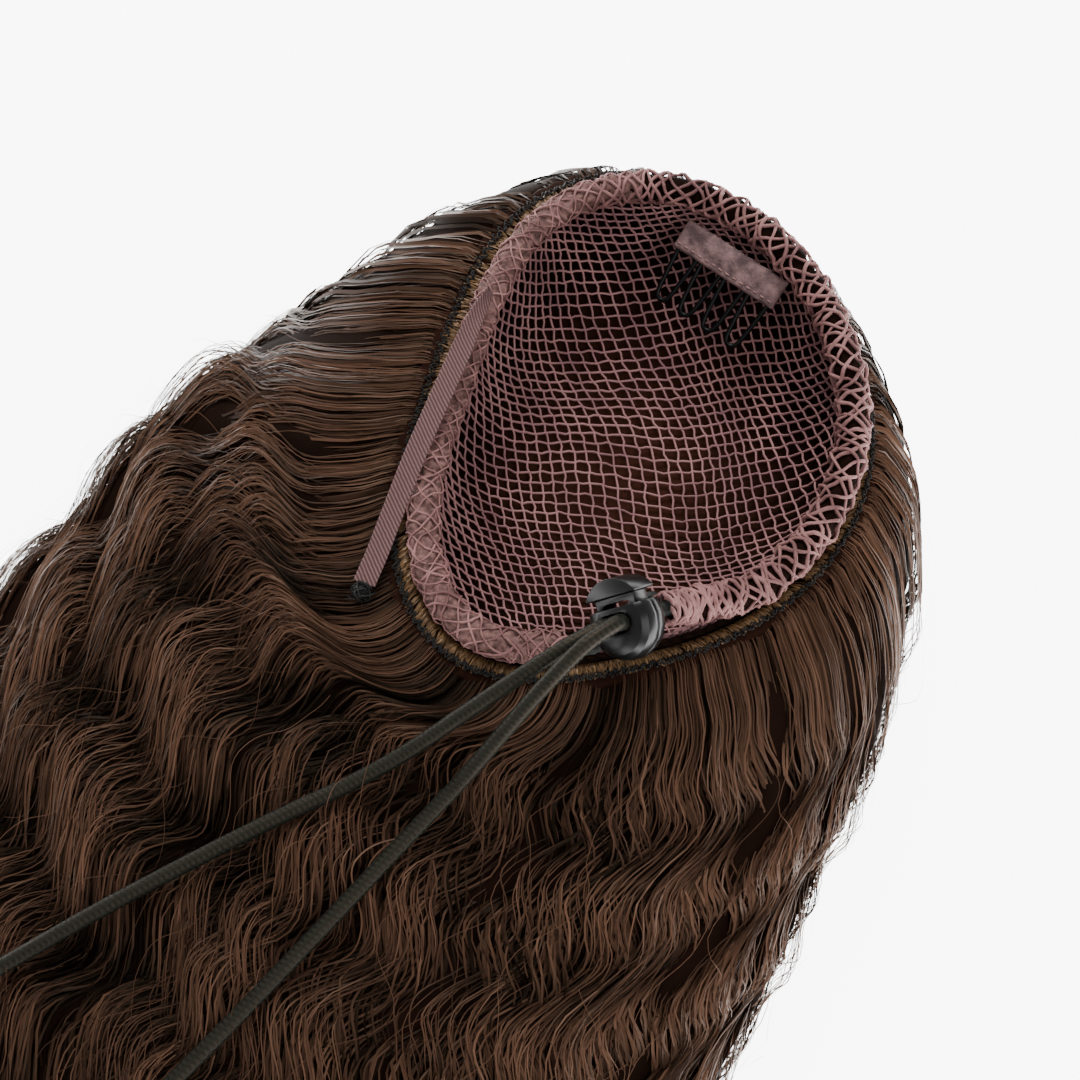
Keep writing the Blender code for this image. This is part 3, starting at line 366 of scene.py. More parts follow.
# Finishes
def group(name, inputs, outputs):
    """Empty shader group with named sockets; returns it with its two end nodes."""
    tree = bpy.data.node_groups.new(name, "ShaderNodeTree")
    for label, kind, value in inputs:
        socket = tree.interface.new_socket(name=label, in_out="INPUT", socket_type=kind)
        socket.default_value = value
    for label, kind in outputs:
        tree.interface.new_socket(name=label, in_out="OUTPUT", socket_type=kind)
    return tree, tree.nodes.new("NodeGroupInput"), tree.nodes.new("NodeGroupOutput")


def add_node(tree, kind, values=(), **settings):
    """New node with its settings and the values of its input sockets."""
    node = tree.nodes.new("ShaderNode" + kind)
    for label, value in settings.items():
        setattr(node, label, value)
    for socket, value in dict(values).items():
        node.inputs[socket].default_value = value
    return node


def link(tree, source, out, target, into):
    """Join one node's output socket to another node's input socket."""
    tree.links.new(source.outputs[out], target.inputs[into])


def mix_colours(tree, factor, out, dark, light, start, end):
    """Colour between two of the group's inputs, put out as the group's Color."""
    mix = add_node(tree, "Mix", data_type="RGBA")
    link(tree, factor, out, mix, "Factor")
    link(tree, start, dark, mix, 6)
    link(tree, start, light, mix, 7)
    link(tree, mix, 2, end, "Color")


def fibre_group():
    """Colour between Dark and Light by the strand's tint plus noise; light ones shine more."""
    tree, start, end = group("fibre_colour", [
        ("Dark", "NodeSocketColor", (0.01, 0.006, 0.004, 1)),
        ("Light", "NodeSocketColor", (0.1, 0.06, 0.04, 1)),
        ("Streak", "NodeSocketFloat", 0.3), ("Scale", "NodeSocketFloat", 60.0)],
        [("Color", "NodeSocketColor"), ("Roughness", "NodeSocketFloat")])
    tint = add_node(tree, "Attribute", attribute_name="tint")
    place = add_node(tree, "TexCoord")
    noise = add_node(tree, "TexNoise", {"Detail": 2.0})
    shift = add_node(tree, "Math", {1: 0.5}, operation="SUBTRACT")
    spread = add_node(tree, "Math", operation="MULTIPLY_ADD")
    gloss = add_node(tree, "MapRange", {"To Min": 0.52, "To Max": 0.36})
    link(tree, place, "Object", noise, "Vector")
    link(tree, start, "Scale", noise, "Scale")
    link(tree, noise, "Fac", shift, 0)
    link(tree, shift, 0, spread, 0)
    link(tree, start, "Streak", spread, 1)
    link(tree, tint, "Fac", spread, 2)
    mix_colours(tree, spread, 0, "Dark", "Light", start, end)
    link(tree, tint, "Fac", gloss, "Value")
    link(tree, gloss, 0, end, "Roughness")
    return tree


def weave_group():
    """Fine fibre relief and mottled colour from a fine and a broad noise."""
    tree, start, end = group("cloth_weave", [
        ("Color", "NodeSocketColor", (0.4, 0.2, 0.2, 1)),
        ("Shade", "NodeSocketColor", (0.2, 0.1, 0.1, 1)),
        ("Scale", "NodeSocketFloat", 900.0), ("Mottle", "NodeSocketFloat", 120.0)],
        [("Color", "NodeSocketColor"), ("Height", "NodeSocketFloat")])
    place = add_node(tree, "TexCoord")
    fine = add_node(tree, "TexNoise", {"Detail": 1.0})
    broad = add_node(tree, "TexNoise", {"Detail": 3.0})
    blend = add_node(tree, "Math", {1: 0.5}, operation="MULTIPLY_ADD")
    spread = add_node(tree, "MapRange", {"From Min": 0.35, "From Max": 0.65})
    for noise, scale in ((fine, "Scale"), (broad, "Mottle")):
        link(tree, place, "Object", noise, "Vector")
        link(tree, start, scale, noise, "Scale")
    link(tree, broad, "Fac", spread, "Value")
    mix_colours(tree, spread, 0, "Shade", "Color", start, end)
    link(tree, fine, "Fac", blend, 0)
    link(tree, broad, "Fac", blend, 2)
    link(tree, blend, 0, end, "Height")
    return tree


def twill_group():
    """Slanting ribs over the piece's map in millimetres, a little uneven, with fine fibres; the
    colour darkens into the grooves between the ribs as painted shade.
    """
    tree, start, end = group("twill_ribs", [
        ("Color", "NodeSocketColor", (0.4, 0.2, 0.2, 1)),
        ("Shade", "NodeSocketColor", (0.2, 0.1, 0.1, 1)),
        ("Scale", "NodeSocketFloat", 0.5)],
        [("Color", "NodeSocketColor"), ("Height", "NodeSocketFloat")])
    place = add_node(tree, "TexCoord")
    wave = add_node(tree, "TexWave", {"Distortion": 1.2, "Detail Scale": 1.5},
                    bands_direction="DIAGONAL")
    fine = add_node(tree, "TexNoise", {"Scale": 3.0})
    blend = add_node(tree, "Math", {1: 0.5}, operation="MULTIPLY_ADD")
    link(tree, place, "UV", wave, "Vector")
    link(tree, place, "UV", fine, "Vector")
    link(tree, start, "Scale", wave, "Scale")
    link(tree, fine, "Fac", blend, 0)
    link(tree, wave, "Fac", blend, 2)
    # Shade colour in the grooves and Color on the ribs: painted shade over the ribbed weave
    mix_colours(tree, wave, "Fac", "Shade", "Color", start, end)
    link(tree, blend, 0, end, "Height")
    return tree


def new_finish(name, roughness, specular):
    """Material with a plain Principled shader."""
    mat = bpy.data.materials.new(name)
    mat.use_nodes = True
    shader = mat.node_tree.nodes["Principled BSDF"]
    shader.inputs["Roughness"].default_value = roughness
    shader.inputs["Specular IOR Level"].default_value = specular
    return mat, mat.node_tree, shader


def patterned(name, pattern, values, roughness, specular):
    """Material whose base colour comes from a pattern group set to its own values."""
    mat, tree, shader = new_finish(name, roughness, specular)
    node = add_node(tree, "Group", node_tree=pattern)
    for label, value in values.items():
        node.inputs[label].default_value = (*value, 1) if isinstance(value, tuple) else value
    link(tree, node, "Color", shader, "Base Color")
    return mat, tree, shader, node


def fibre_finish(name, dark, light, streak=0.3, scale=60.0, specular=0.5, dull=None):
    """Hair: colour and gloss vary from strand to strand; dull gives one roughness for all."""
    values = {"Dark": dark, "Light": light, "Streak": streak, "Scale": scale}
    mat, tree, shader, node = patterned(name, FIBRE, values, dull or 0.4, specular)
    shader.inputs["Specular Tint"].default_value = (1.0, 0.72, 0.52, 1)
    if dull is None:
        link(tree, node, "Roughness", shader, "Roughness")
    return mat


def relief_finish(name, pattern, values, roughness, bump, depth, specular):
    """Material with a pattern's colour, and its height as fine relief of this depth."""
    mat, tree, shader, node = patterned(name, pattern, values, roughness, specular)
    relief = add_node(tree, "Bump", {"Strength": bump, "Distance": depth})
    link(tree, node, "Height", relief, "Height")
    link(tree, relief, "Normal", shader, "Normal")
    return mat


def cloth_finish(name, colour, shade, fine, mottle, roughness, bump, depth, specular=0.3):
    """Thread, cloth or plastic: mottled colour with fine relief."""
    values = {"Color": colour, "Shade": shade, "Scale": fine, "Mottle": mottle}
    return relief_finish(name, WEAVE, values, roughness, bump, depth, specular)


def twill_finish(name, colour, shade, scale, roughness, bump, depth):
    """Woven tape with slanting ribs."""
    values = {"Color": colour, "Shade": shade, "Scale": scale}
    return relief_finish(name, TWILL, values, roughness, bump, depth, 0.3)


def camera():
    """Camera above the near right, looking down on the cup at 66 degrees."""
    azimuth, elevation = 34, 66
    data = bpy.data.cameras.new("camera")
    data.lens = 46.0
    data.sensor_width = 36.0
    obj = bpy.data.objects.new("camera", data)
    bpy.context.scene.collection.objects.link(obj)
    obj.location = (0.0657, -0.1375, 0.3202)
    obj.rotation_euler = (np.radians(90 - elevation), 0.0, np.radians(azimuth))
    bpy.context.scene.camera = obj


# Cords
def tail_path(table, half):
    """Points of a free cord: straight out of the lock, then over the top of the hair."""
    x, y = LOCK_CENTRE[0] + table[:, 0], LOCK_CENTRE[1] + table[:, 1]
    laid = np.stack([x, y, station(y)[2] + table[:, 2]], -1)
    out = [lock_point(half, 0, w) for w in (3.55, 7.0)]
    return smooth_curve(np.vstack([out, laid]), CORD_STEP)


def braid(path, radius):
    """Cord whose skin swells where two opposite spirals of plaits pass over each other, with a
    tint lighter on the swells as painted highlight and shade.
    """
    side, up = side_and_up(unit(np.gradient(path, axis=0)))
    angle = turn(CORD_SIDES)
    run = arc_length(path)[:, None]
    one = np.cos(PLAIT_RIBS * angle + TURN * run / PLAIT_LENGTH)
    two = np.cos(PLAIT_RIBS * angle - TURN * run / PLAIT_LENGTH)
    high = np.maximum(one, two)
    swell = radius * (0.95 + 0.05 * high)
    ring = side[:, None] * np.cos(angle)[:, None] + up[:, None] * np.sin(angle)[:, None]
    verts = path[:, None] + ring * swell[..., None]
    # the third value is painted highlight and shade: lighter where a plait passes over, darker
    # where it passes under
    return verts, grid_faces(len(path), CORD_SIDES, wrap=True)[:, ::-1], 0.5 + 0.5 * high


def build_cords(finish):
    """The two free ends of the elastic cord, from the lock to their knots."""
    for name, table, half in (("left", LEFT_TAIL, -2.1), ("right", RIGHT_TAIL, 2.1)):
        path = tail_path(table, half)
        verts, faces, tint = braid(path, CORD_RADIUS)
        cord = piece("braided_cord_" + name, verts, faces, finish, tint=tint)
        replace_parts(cord, "cord_tail_" + name)


# Hair
def hair_form():
    """Smooth outer form of the hair on an even grid, with its length, normal and side."""
    theta = turn(COLUMNS)
    outer, low = weft_station(theta)[1:3]
    rows = [rim_point(theta, outer - 1.6, low + 1.7)]
    rows += [hair_line(theta, t) for t in np.linspace(0, 1, 40)]
    rows += [section(theta, join_y(theta) * (1 - s) - FORM_REACH * s)
             for s in np.linspace(0.01, 1, 90)]
    rough = np.array(rows)
    rough[..., 2] = np.maximum(rough[..., 2], 0.3)
    run = arc_length(rough)
    at = np.linspace(0, 1, ROWS)
    form = np.stack([along_path(at * run[-1, c], run[:, c], rough[:, c])
                     for c in range(COLUMNS)], 1)
    across = np.roll(form, -1, 1) - np.roll(form, 1, 1)
    normal = unit(np.cross(across, np.gradient(form, axis=0)))
    outward = form - [-8.0, 0.0, 20.0]
    outward[..., 1] = 0.0
    flip = np.where((normal * outward).sum(-1) < 0, -1.0, 1.0)
    normal = unit(normal * flip[..., None])
    return form, run[-1], normal, unit(across)


def sample(grid, theta, share):
    """Values of a grid between its points: theta round the body, share along the hair."""
    column = (theta / TURN * COLUMNS) % COLUMNS
    row = np.clip(share, 0, 1) * (ROWS - 1)
    c0 = np.floor(column).astype(int)
    r0 = np.minimum(np.floor(row).astype(int), ROWS - 2)
    fc, fr = (column - c0)[..., None], (row - r0)[..., None]
    c1, c0 = (c0 + 1) % COLUMNS, c0 % COLUMNS
    return ((grid[r0, c0] * (1 - fc) + grid[r0, c1] * fc) * (1 - fr)
            + (grid[r0 + 1, c0] * (1 - fc) + grid[r0 + 1, c1] * fc) * fr)


def hair_length(theta):
    """Length of the form's line of hair at each angle."""
    ring = np.arange(COLUMNS + 1) * TURN / COLUMNS
    return np.interp(theta % TURN, ring, np.append(HAIR_RUNS, HAIR_RUNS[0]))


def side_swell(theta, run, power=6):
    """Share by which the hair stands out at its left and right sides, past the weft."""
    return np.abs(np.sin(theta)) ** power * ease(run / 16.0)


def gather(p, share, pull):
    """Points of the last fifth drawn towards the tail's middle, so that it ends in tips."""
    left, right, _, level = station(p[..., 1])
    pull = pull * ease((share - 0.78) / 0.22)
    x = p[..., 0] + (0.5 * (left + right) - p[..., 0]) * pull
    z = p[..., 2] + (0.9 * level - p[..., 2]) * pull
    return np.stack([x, p[..., 1], z], -1)


def strand_paths(rng, theta, across, depth, share0, share1, steps, phase, size):
    """Strands on the form: straight at the weft, then waved sideways and in and out."""
    t = np.linspace(0, 1, steps)[None, :]
    share = share0[:, None] + (share1 - share0)[:, None] * t
    run = share * hair_length(theta)[:, None]
    close = 1 - 0.8 * ease((share - 0.8) / 0.2)
    angle = theta[:, None] + across[:, None] * close
    p = sample(HAIR_FORM, angle, share)
    n = unit(sample(HAIR_NORMAL, angle, share))
    side = unit(sample(HAIR_SIDE, angle, share))
    straight = 8.0 + 22.0 * np.abs(np.sin(theta[:, None])) ** 12
    waved = ease((run - straight) / 28.0)
    flat = np.clip(p[..., 2] / 14.0, 0.15, 1.0)
    beat = TURN * run / WAVE_LENGTH + phase[:, None]
    crest = waved * np.cos(beat + 0.6)
    sway = waved * size[:, None] * (WAVE_SWAY * np.sin(beat) + 0.5 * np.sin(0.6 * beat + 1.0))
    lift = size[:, None] * WAVE_LIFT * crest + SIDE_RISE * side_swell(theta[:, None], run)
    fuzz = rng.uniform(0, TURN, (4, len(theta), 1))
    fine = (0.16 * np.sin(TURN * run / 9.0 + fuzz[0])
            + 0.3 * np.sin(TURN * run / 17.0 + fuzz[1]))
    deep = (0.15 * np.sin(TURN * run / 11.0 + fuzz[2])
            + 0.25 * np.sin(TURN * run / 23.0 + fuzz[3]))
    sway = sway + fine * (0.3 + waved)
    sink = depth * (0.25 + 0.75 * ease(run / 22.0)) + (lift + deep * (0.3 + waved)) * flat
    p = p + side * sway[..., None] + n * sink[..., None]
    p = gather(p, share, rng.uniform(0.25, 0.85, (len(theta), 1)))
    p[..., 2] = np.maximum(p[..., 2], 0.6)
    return p, n, crest


def build_strands(name, rng, between, layer, finish):
    """Locks of strands side by side; each lock is a mound with its own phase and tint."""
    low, high = np.radians(between)
    locks, per_lock, depth, width, steps, tint0, tint1 = layer
    centre = low + (high - low) * (np.arange(locks) + rng.uniform(0.1, 0.9, locks)) / locks
    half = 0.6 * (high - low) / locks
    drift = 1.3 * np.sin(2.0 * centre + 0.6) + 0.9 * np.sin(5.0 * centre + 2.0)
    lock_phase = drift + rng.uniform(-1.6, 1.6, locks)
    lock_size = rng.uniform(0.75, 1.2, locks)
    # each lock's tint is a random tone within its layer's range, kept darker in the deeper
    # layers as painted shade
    lock_tint = rng.uniform(tint0, tint1, locks)
    lock_depth = depth + rng.uniform(-0.8, 0.8, locks)
    lock = np.repeat(np.arange(locks), per_lock)
    count = len(lock)
    u = rng.uniform(-1, 1, count) + 0.22 * rng.normal(size=count)
    mound = LOCK_MOUND * (1 - np.clip(np.abs(u), 0, 1.3) ** 2)
    sunk = (lock_depth[lock] + mound - 1.9 - rng.uniform(0, 0.9, count))[:, None]

    # just over half the strands start at the weft, the rest dive out of the layer below
    from_weft = rng.random(count) < 0.55
    share0 = np.where(from_weft, 0.0, rng.uniform(0.05, 0.55, count))
    share1 = np.minimum(1.0, np.where(rng.random(count) < 0.5, rng.uniform(0.88, 1.0, count),
                                      share0 + rng.uniform(0.3, 0.6, count)))
    t = np.linspace(0, 1, steps)[None, :]
    dive = 2.5 * (1 - ease(t / 0.12)) * (~from_weft)[:, None]
    dive = dive + 2.0 * ease((t - 0.88) / 0.12) * (share1 < 0.87)[:, None]
    phase = lock_phase[lock] + 0.3 * u + 0.2 * rng.normal(size=count)
    size = lock_size[lock] * rng.uniform(0.9, 1.1, count)
    paths, n, crest = strand_paths(rng, centre[lock], half * u, sunk - dive, share0, share1,
                                   steps, phase, size)
    roll = rng.uniform(-0.7, 0.7, (count, 1, 1))
    facing = unit(n + roll * np.cross(n, unit(np.gradient(paths, axis=1))))
    taper = np.minimum(1.0, np.minimum(t / 0.03 + 0.35, (1 - t) / 0.10 + 0.2))
    wide = width * rng.uniform(0.7, 1.3, (count, 1)) * taper
    verts, faces = ribbons(paths, facing, wide)

    # painted highlight and shade: lighter on the wave crests and darker in the troughs, lighter
    # on the mounds' tops, at the sides and most of all on the right, where light falls; the
    # random part is the hair's own tone
    bright = np.where(rng.random(count) < 0.12, 0.35, 0.0)
    tint = lock_tint[lock] + 0.14 * rng.normal(size=count) + 0.10 * (mound - 2.2) + bright
    tint = tint - 0.05 + 0.25 * np.abs(np.sin(centre[lock])) ** 5
    tint = tint + 0.22 * np.maximum(np.sin(centre[lock]), 0) ** 3
    tint = np.clip(tint[:, None] + 0.24 * crest, 0, 1)
    piece(name, verts, faces, finish, tint=np.repeat(tint.ravel(), 2))


def build_flyaways(rng, finish):
    """Single thin hairs that rise off the form and come back, each on its own curve."""
    count, steps = FLYAWAYS, 40
    theta = rng.uniform(np.radians(-108), np.radians(108), count)
    share0 = rng.uniform(0.0, 0.75, count)
    share1 = np.minimum(1.0, share0 + rng.uniform(0.12, 0.4, count))
    t = np.linspace(0, 1, steps)[None, :]
    rise = rng.uniform(1.0, 5.0, (count, 1)) * np.sin(np.pi * np.minimum(1.2 * t, 0.8)) ** 0.8
    paths, n, _ = strand_paths(rng, theta, rng.normal(0, 0.02, count), rise, share0, share1,
                               steps, rng.uniform(0, TURN, count), rng.uniform(0.7, 1.4, count))
    verts, faces = ribbons(paths, n, 0.14)
    tint = np.repeat(rng.uniform(0.1, 0.7, count), steps * 2)
    piece("flyaway_hairs", verts, faces, finish, tint=tint)


def build_backing(finish):
    """Mass under the strands, near-black as painted shade of the hair's depths: bowl round the
    net, ledge under the weft, then the form.
    """
    theta = turn(COLUMNS)[::2]
    rings = [cup_point(theta, np.radians(a), 2.0)
             for a in (89.9, 84, 74, 62, 50, 40, 30, 20, 10, 0)]
    inner, outer, under = weft_station(theta)[:3]
    rings[-1][:, 2] = under - 1.2
    rings.append(rim_point(theta, inner - 0.4, under - 0.4))
    rings.append(rim_point(theta, outer + 0.4, under - 0.4))

    share = np.repeat(np.linspace(0, 0.96, 90)[:, None], len(theta), 1)
    angle = np.broadcast_to(theta, share.shape)
    run = share * hair_length(theta)
    lobe = 1.0 * np.sin(14 * angle) + 0.7 * np.sin(31 * angle + 1.0)
    near = -1.6 - 2.6 * ease(run / 14.0) + (lobe - 0.6) * ease(run / 40.0)
    near = near + 4.8 * side_swell(angle, run)
    far = -1.0 + 2.2 * side_swell(angle, run, 3)
    sink = np.where(np.cos(angle) < -0.3, far, near)
    room = 0.25 + 0.75 * ease((0.97 - share) / 0.2)
    p = sample(HAIR_FORM, angle, share)
    p = p + unit(sample(HAIR_NORMAL, angle, share)) * (sink * room)[..., None]
    p = gather(p, share, 0.9)
    p[..., 2] = np.maximum(p[..., 2], 0.2)

    rings = np.array(rings + list(p))
    rings = np.concatenate([rings, np.broadcast_to(rings[-1].mean(0), rings[-1:].shape)])
    # near-black tint for the painted shade, lighter towards the bottom of the bowl
    tint = np.full(rings.shape[:2], 0.08)
    tint[:7] = np.array([0.7, 0.7, 0.65, 0.5, 0.35, 0.2, 0.1])[:, None]
    faces = grid_faces(len(rings), len(theta), wrap=True)
    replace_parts(piece("hair_mass", rings, faces, finish, tint=tint), "hair")


# Net cup
def build_net(finish):
    """Square lattice of threads laid into the bowl: its plan is wrapped by length of arc."""
    ring = np.linspace(-1.2 * np.pi, 1.2 * np.pi, 865)
    plan = rim_point(ring)[:, :2] - RIM_CENTRE
    polar = np.unwrap(np.arctan2(plan[:, 0], -plan[:, 1]))
    polar = polar - TURN * np.round(polar[len(ring) // 2] / TURN)
    reach = np.linalg.norm(plan, axis=1)
    a_table = np.linspace(np.pi / 2, 0, 200)
    mouth = 52.0
    meridian = np.stack([np.cos(a_table) ** CUP_ROUNDNESS * mouth,
                         -CUP_DEPTH * np.sin(a_table)], -1)
    arc = arc_length(meridian)
    line = np.arange(-NET_REACH, NET_REACH, NET_PITCH)
    run = np.arange(-NET_REACH, NET_REACH, NET_PITCH / 2)
    all_paths, all_keep = [], []
    for degrees, over in ((34.0, 0.12), (138.0, -0.12)):
        direction = np.radians(degrees)
        along = np.array([np.cos(direction), np.sin(direction)])
        other = np.array([-along[1], along[0]])
        xy = run[None, :, None] * along + line[:, None, None] * other
        x, y = xy[..., 0], xy[..., 1]
        warp = np.stack([2.1 * np.sin(y / 12.0 + 0.8) + 1.0 * np.sin(x / 7.0 + y / 9.0),
                         1.8 * np.sin(x / 10.0 + 2.0) + 0.9 * np.sin(y / 6.5 - x / 12.0)], -1)
        kink = np.stack([np.sin(1.9 * x + 0.7 * y) + np.sin(2.3 * y - 0.4 * x),
                         np.sin(2.1 * y + 0.5 * x) + np.sin(1.7 * x - 0.9 * y)], -1)
        xy = xy + warp + 0.13 * kink
        x, y = xy[..., 0], xy[..., 1]
        phi = np.arctan2(x, -y)
        q = np.linalg.norm(xy, axis=-1) / np.interp(phi, polar, reach)
        theta = np.interp(phi, polar, ring)
        a = np.interp(np.clip(q, 0, 1), arc / arc[-1], a_table)
        crease = (0.5 * np.sin(x / 4.5 + 1.3 * np.sin(y / 12.0))
                  + 0.5 * np.sin(y / 5.5 + 1.6 * np.sin(x / 10.0)))
        weave = over * np.cos(TURN * run / NET_PITCH)[None, :]
        grow = -0.4 + crease * ease((1 - q) / 0.15) * 0.9 + weave
        all_paths.append(cup_point(theta, a, grow))
        all_keep.append(q < 1.0)
    paths, keep = np.concatenate(all_paths), np.concatenate(all_keep)

    # points outside the mouth are spread a little, so that none share a place
    paths = np.where(keep[..., None], paths, paths + 0.001 * run[None, :, None])
    facing = unit(np.append(RIM_CENTRE, 60.0) - paths)
    verts, faces = tubes(paths, facing, NET_THREAD, 4, keep)
    used = np.unique(faces)
    place = np.zeros(len(verts), np.int64)
    place[used] = np.arange(len(used))
    obj = piece("net_mesh", verts[used], place[faces], finish)
    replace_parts(obj, "net_cup")


# Rolled rim
def rim_path():
    """Middle line of the rolled rim: from behind the lock, round the oval, to the near end."""
    ring = rim_point(np.radians(np.arange(62, 362, 6)))
    start = [lock_point(2.6, 0.4, -9.0), rim_point(np.radians(50.6), -2.3, RIM_HEIGHT + 1.9)]
    end = [rim_point(np.radians(13.0), 0.0, RIM_HEIGHT - 0.1)]
    return smooth_curve(np.vstack([start, ring, end]), 1.0)


def gathered(at):
    """0 on the open net of the rim, 1 on its gathered left and near sides."""
    return ease((at / RIM_RUN[-1] - GATHER_START) / 0.05)


def roll_surface(at, phi):
    """Tube round the rim's line, with its middle: the radius swells in bunches and flattens
    where the rim is gathered."""
    centre = along_path(at, RIM_RUN, RIM_LINE)
    tangent = unit(np.gradient(RIM_LINE, axis=0))
    side, up = side_and_up(unit(along_path(at, RIM_RUN, tangent)))
    band = gathered(at)
    grow = ease(at / 10.0)
    bunch = (0.30 * np.sin(TURN * at / 8.3 + 1.2 * np.sin(at / 13.0))
             + 0.22 * np.sin(TURN * at / 4.7 + 2.0 * np.sin(phi)))
    r = ROLL_RADIUS + 0.45 * grow * (1 - band) + bunch * (1 - 0.5 * band) * grow
    wide, high = r * (1 + 0.12 * band), r * (1 - 0.22 * band)
    out = side * (wide * np.cos(phi))[..., None] + up * (high * np.sin(phi))[..., None]
    return centre + out, centre


def build_rolled_net(finish, rng):
    """Threads wound round the rim in two opposite spirals whose slope changes along it,
    thinner where the rim is gathered."""
    grid = np.linspace(0, RIM_RUN[-1], 2000)
    share = grid / RIM_RUN[-1]
    tight = (0.85 * ease((0.11 - share) / 0.03) + 0.25 * np.sin(TURN * grid / 31.0)
             + 0.2 * np.sin(TURN * grid / 13.0 + 1.0))
    slope = np.radians(52.0 + 22.0 * np.clip(tight, -0.6, 1.0))
    length = np.concatenate([[0], np.cumsum(np.diff(grid) / np.cos(slope[1:]))])
    turned = np.concatenate([[0], np.cumsum(np.diff(grid) * np.tan(slope[1:]) / 3.6)])
    t = np.arange(0, length[-1], 0.8)
    at, wind = np.interp(t, length, grid), np.interp(t, length, turned)
    points, facing = [], []
    for way in (1, -1):
        first = turn(ROLL_STARTS) + rng.uniform(-0.12, 0.12, ROLL_STARTS)
        phi = first[:, None] + way * wind[None, :]
        phase = rng.uniform(0, TURN, (ROLL_STARTS, 1))
        slide = 0.6 * np.sin(t[None, :] / 1.6 + phase) + 0.5 * np.sin(t / 4.1 + 2 * phase)
        p, centre = roll_surface(np.clip(at[None, :] + slide, 0, RIM_RUN[-1]), phi)
        lift = (0.12 * way * np.cos(ROLL_STARTS * wind[None, :] * 2)
                + 0.18 * np.sin(t / 3.1 + phase))
        facing.append(unit(p - centre))
        points.append(p + facing[-1] * lift[..., None])
    thick = ((0.42 + 0.08 * np.sin(t / 1.9)) * (1 - 0.4 * gathered(at)))[None, :]
    verts, faces = tubes(np.concatenate(points), np.concatenate(facing), thick, 5)
    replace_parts(piece("rolled_net", verts, faces, finish), "drawstring_casing")


def rim_sleeve(name, at, sides, share, finish, tint=None):
    """Closed sleeve inside the wound threads: the roll's surface at a share of its radius."""
    at, phi = np.broadcast_arrays(at[:, None], turn(sides)[None, :])
    p, centre = roll_surface(at, phi)
    p = centre + (p - centre) * share(at, phi)
    p[0], p[-1] = centre[0], centre[-1]
    faces = grid_faces(len(at), sides, wrap=True)[:, ::-1]
    piece(name, p, faces, finish, tint=tint and np.full(at.shape, tint))


def build_core(finish):
    """Rolled edge of the cup inside the wound threads, near-black as painted shade in the gaps
    between them.
    """
    rim_sleeve("rolled_core", np.linspace(2.0, 0.56 * RIM_RUN[-1], 220), 20,
               lambda at, phi: 0.8, finish, tint=0.1)


def crumple(at, phi):
    """Share of the radius: curls of a crumpled net that wander along and round the roll."""
    curl = (np.sin(at / 0.62 + 2.4 * np.sin(3 * phi + at / 3.0))
            + 0.8 * np.sin(5 * phi + 1.9 * np.sin(at / 1.1)))
    return (0.9 + 0.08 * curl)[..., None]


def build_band(finish):
    """Crumpled gathered band on the left and near sides, inside the net's threads."""
    rim_sleeve("gathered_band", np.arange(0.5 * RIM_RUN[-1], RIM_RUN[-1], 0.45), 44, crumple,
               finish)


# Weft
def weft_point(theta, share, lift):
    """Point over the sewn track: share runs from its inner to its outer edge."""
    inner, outer, low = weft_station(theta)[:3]
    return rim_point(theta, inner + (outer - inner) * share, low + 1.5 + lift)


def build_weft_ridge(finish):
    """Ridge of folded hair round the net: one rounded profile carried round the rim."""
    theta = turn(WEFT_COLUMNS)
    inner, outer, low = weft_station(theta)[:3]
    profile = ((0.0, 0.0), (0.0, 0.9), (0.12, 1.35), (0.3, 1.5), (0.55, 1.45), (0.8, 1.3),
               (1.0, 0.9), (1.12, 0.2), (0.9, 0.0))
    rings = []
    for share, height in profile:
        ripple = 0.12 * np.sin(90 * theta + 7 * share)
        rings.append(rim_point(theta, inner + (outer - inner) * share + ripple,
                               low + height + ripple))
    points = len(profile) * WEFT_COLUMNS
    faces = grid_faces(WEFT_COLUMNS + 1, len(profile), wrap=True) % points
    # the ridge takes the near-black hair colour of the painted shade under the loops
    ridge = piece("weft_ridge", np.stack(rings, 1), faces, finish,
                  tint=np.full(points, 0.25))
    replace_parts(ridge, "weft_band")


def build_weft_loops(finish, rng):
    """Short loops of hair laid across the ridge, each an arch of seven points."""
    count, steps = WEFT_LOOPS, 7
    start = np.sort(rng.uniform(0, TURN, count))
    u = np.linspace(0, 1, steps)[None, :]
    skew = rng.normal(0.014, 0.012, count)[:, None] * u
    reach = rng.uniform(0.45, 0.85, count)[:, None]
    bulge = (0.45 + 0.45 * rng.random(count))[:, None] * np.sin(np.pi * u) ** 0.7
    paths = weft_point(start[:, None] + skew, -0.12 + reach * u, -0.2 + bulge)
    facing = unit(UP + 0.4 * rng.normal(size=(count, 1, 3)))
    verts, faces = ribbons(paths, np.broadcast_to(facing, paths.shape), 0.36)
    tint = np.repeat(np.clip(rng.normal(0.5, 0.25, count), 0, 1), steps * 2)
    piece("weft_loops", verts, faces, finish, tint=tint)


def build_weft_stitches(finish):
    """Two rows of black thread that zigzag along the ridge, uneven in width and pace."""
    angle = np.linspace(0, TURN, 4200)
    rows = []
    for share, phase, lift in ((0.52, 0.0, 0.48), (0.56, 3.0, 0.55)):
        wobble = 0.6 * np.sin(11 * angle) + 0.8 * np.sin(23 * angle + phase)
        swing = 0.13 * (1 + 0.35 * np.sin(37 * angle + phase))
        rows.append(weft_point(angle, share + swing * np.sin(170 * angle + phase + wobble),
                               lift + 0.2 * np.cos(340 * angle + phase)))
    paths = np.array(rows)
    verts, faces = tubes(paths, np.broadcast_to(UP, paths.shape), 0.2, 4)
    piece("weft_stitches", verts, faces, finish)


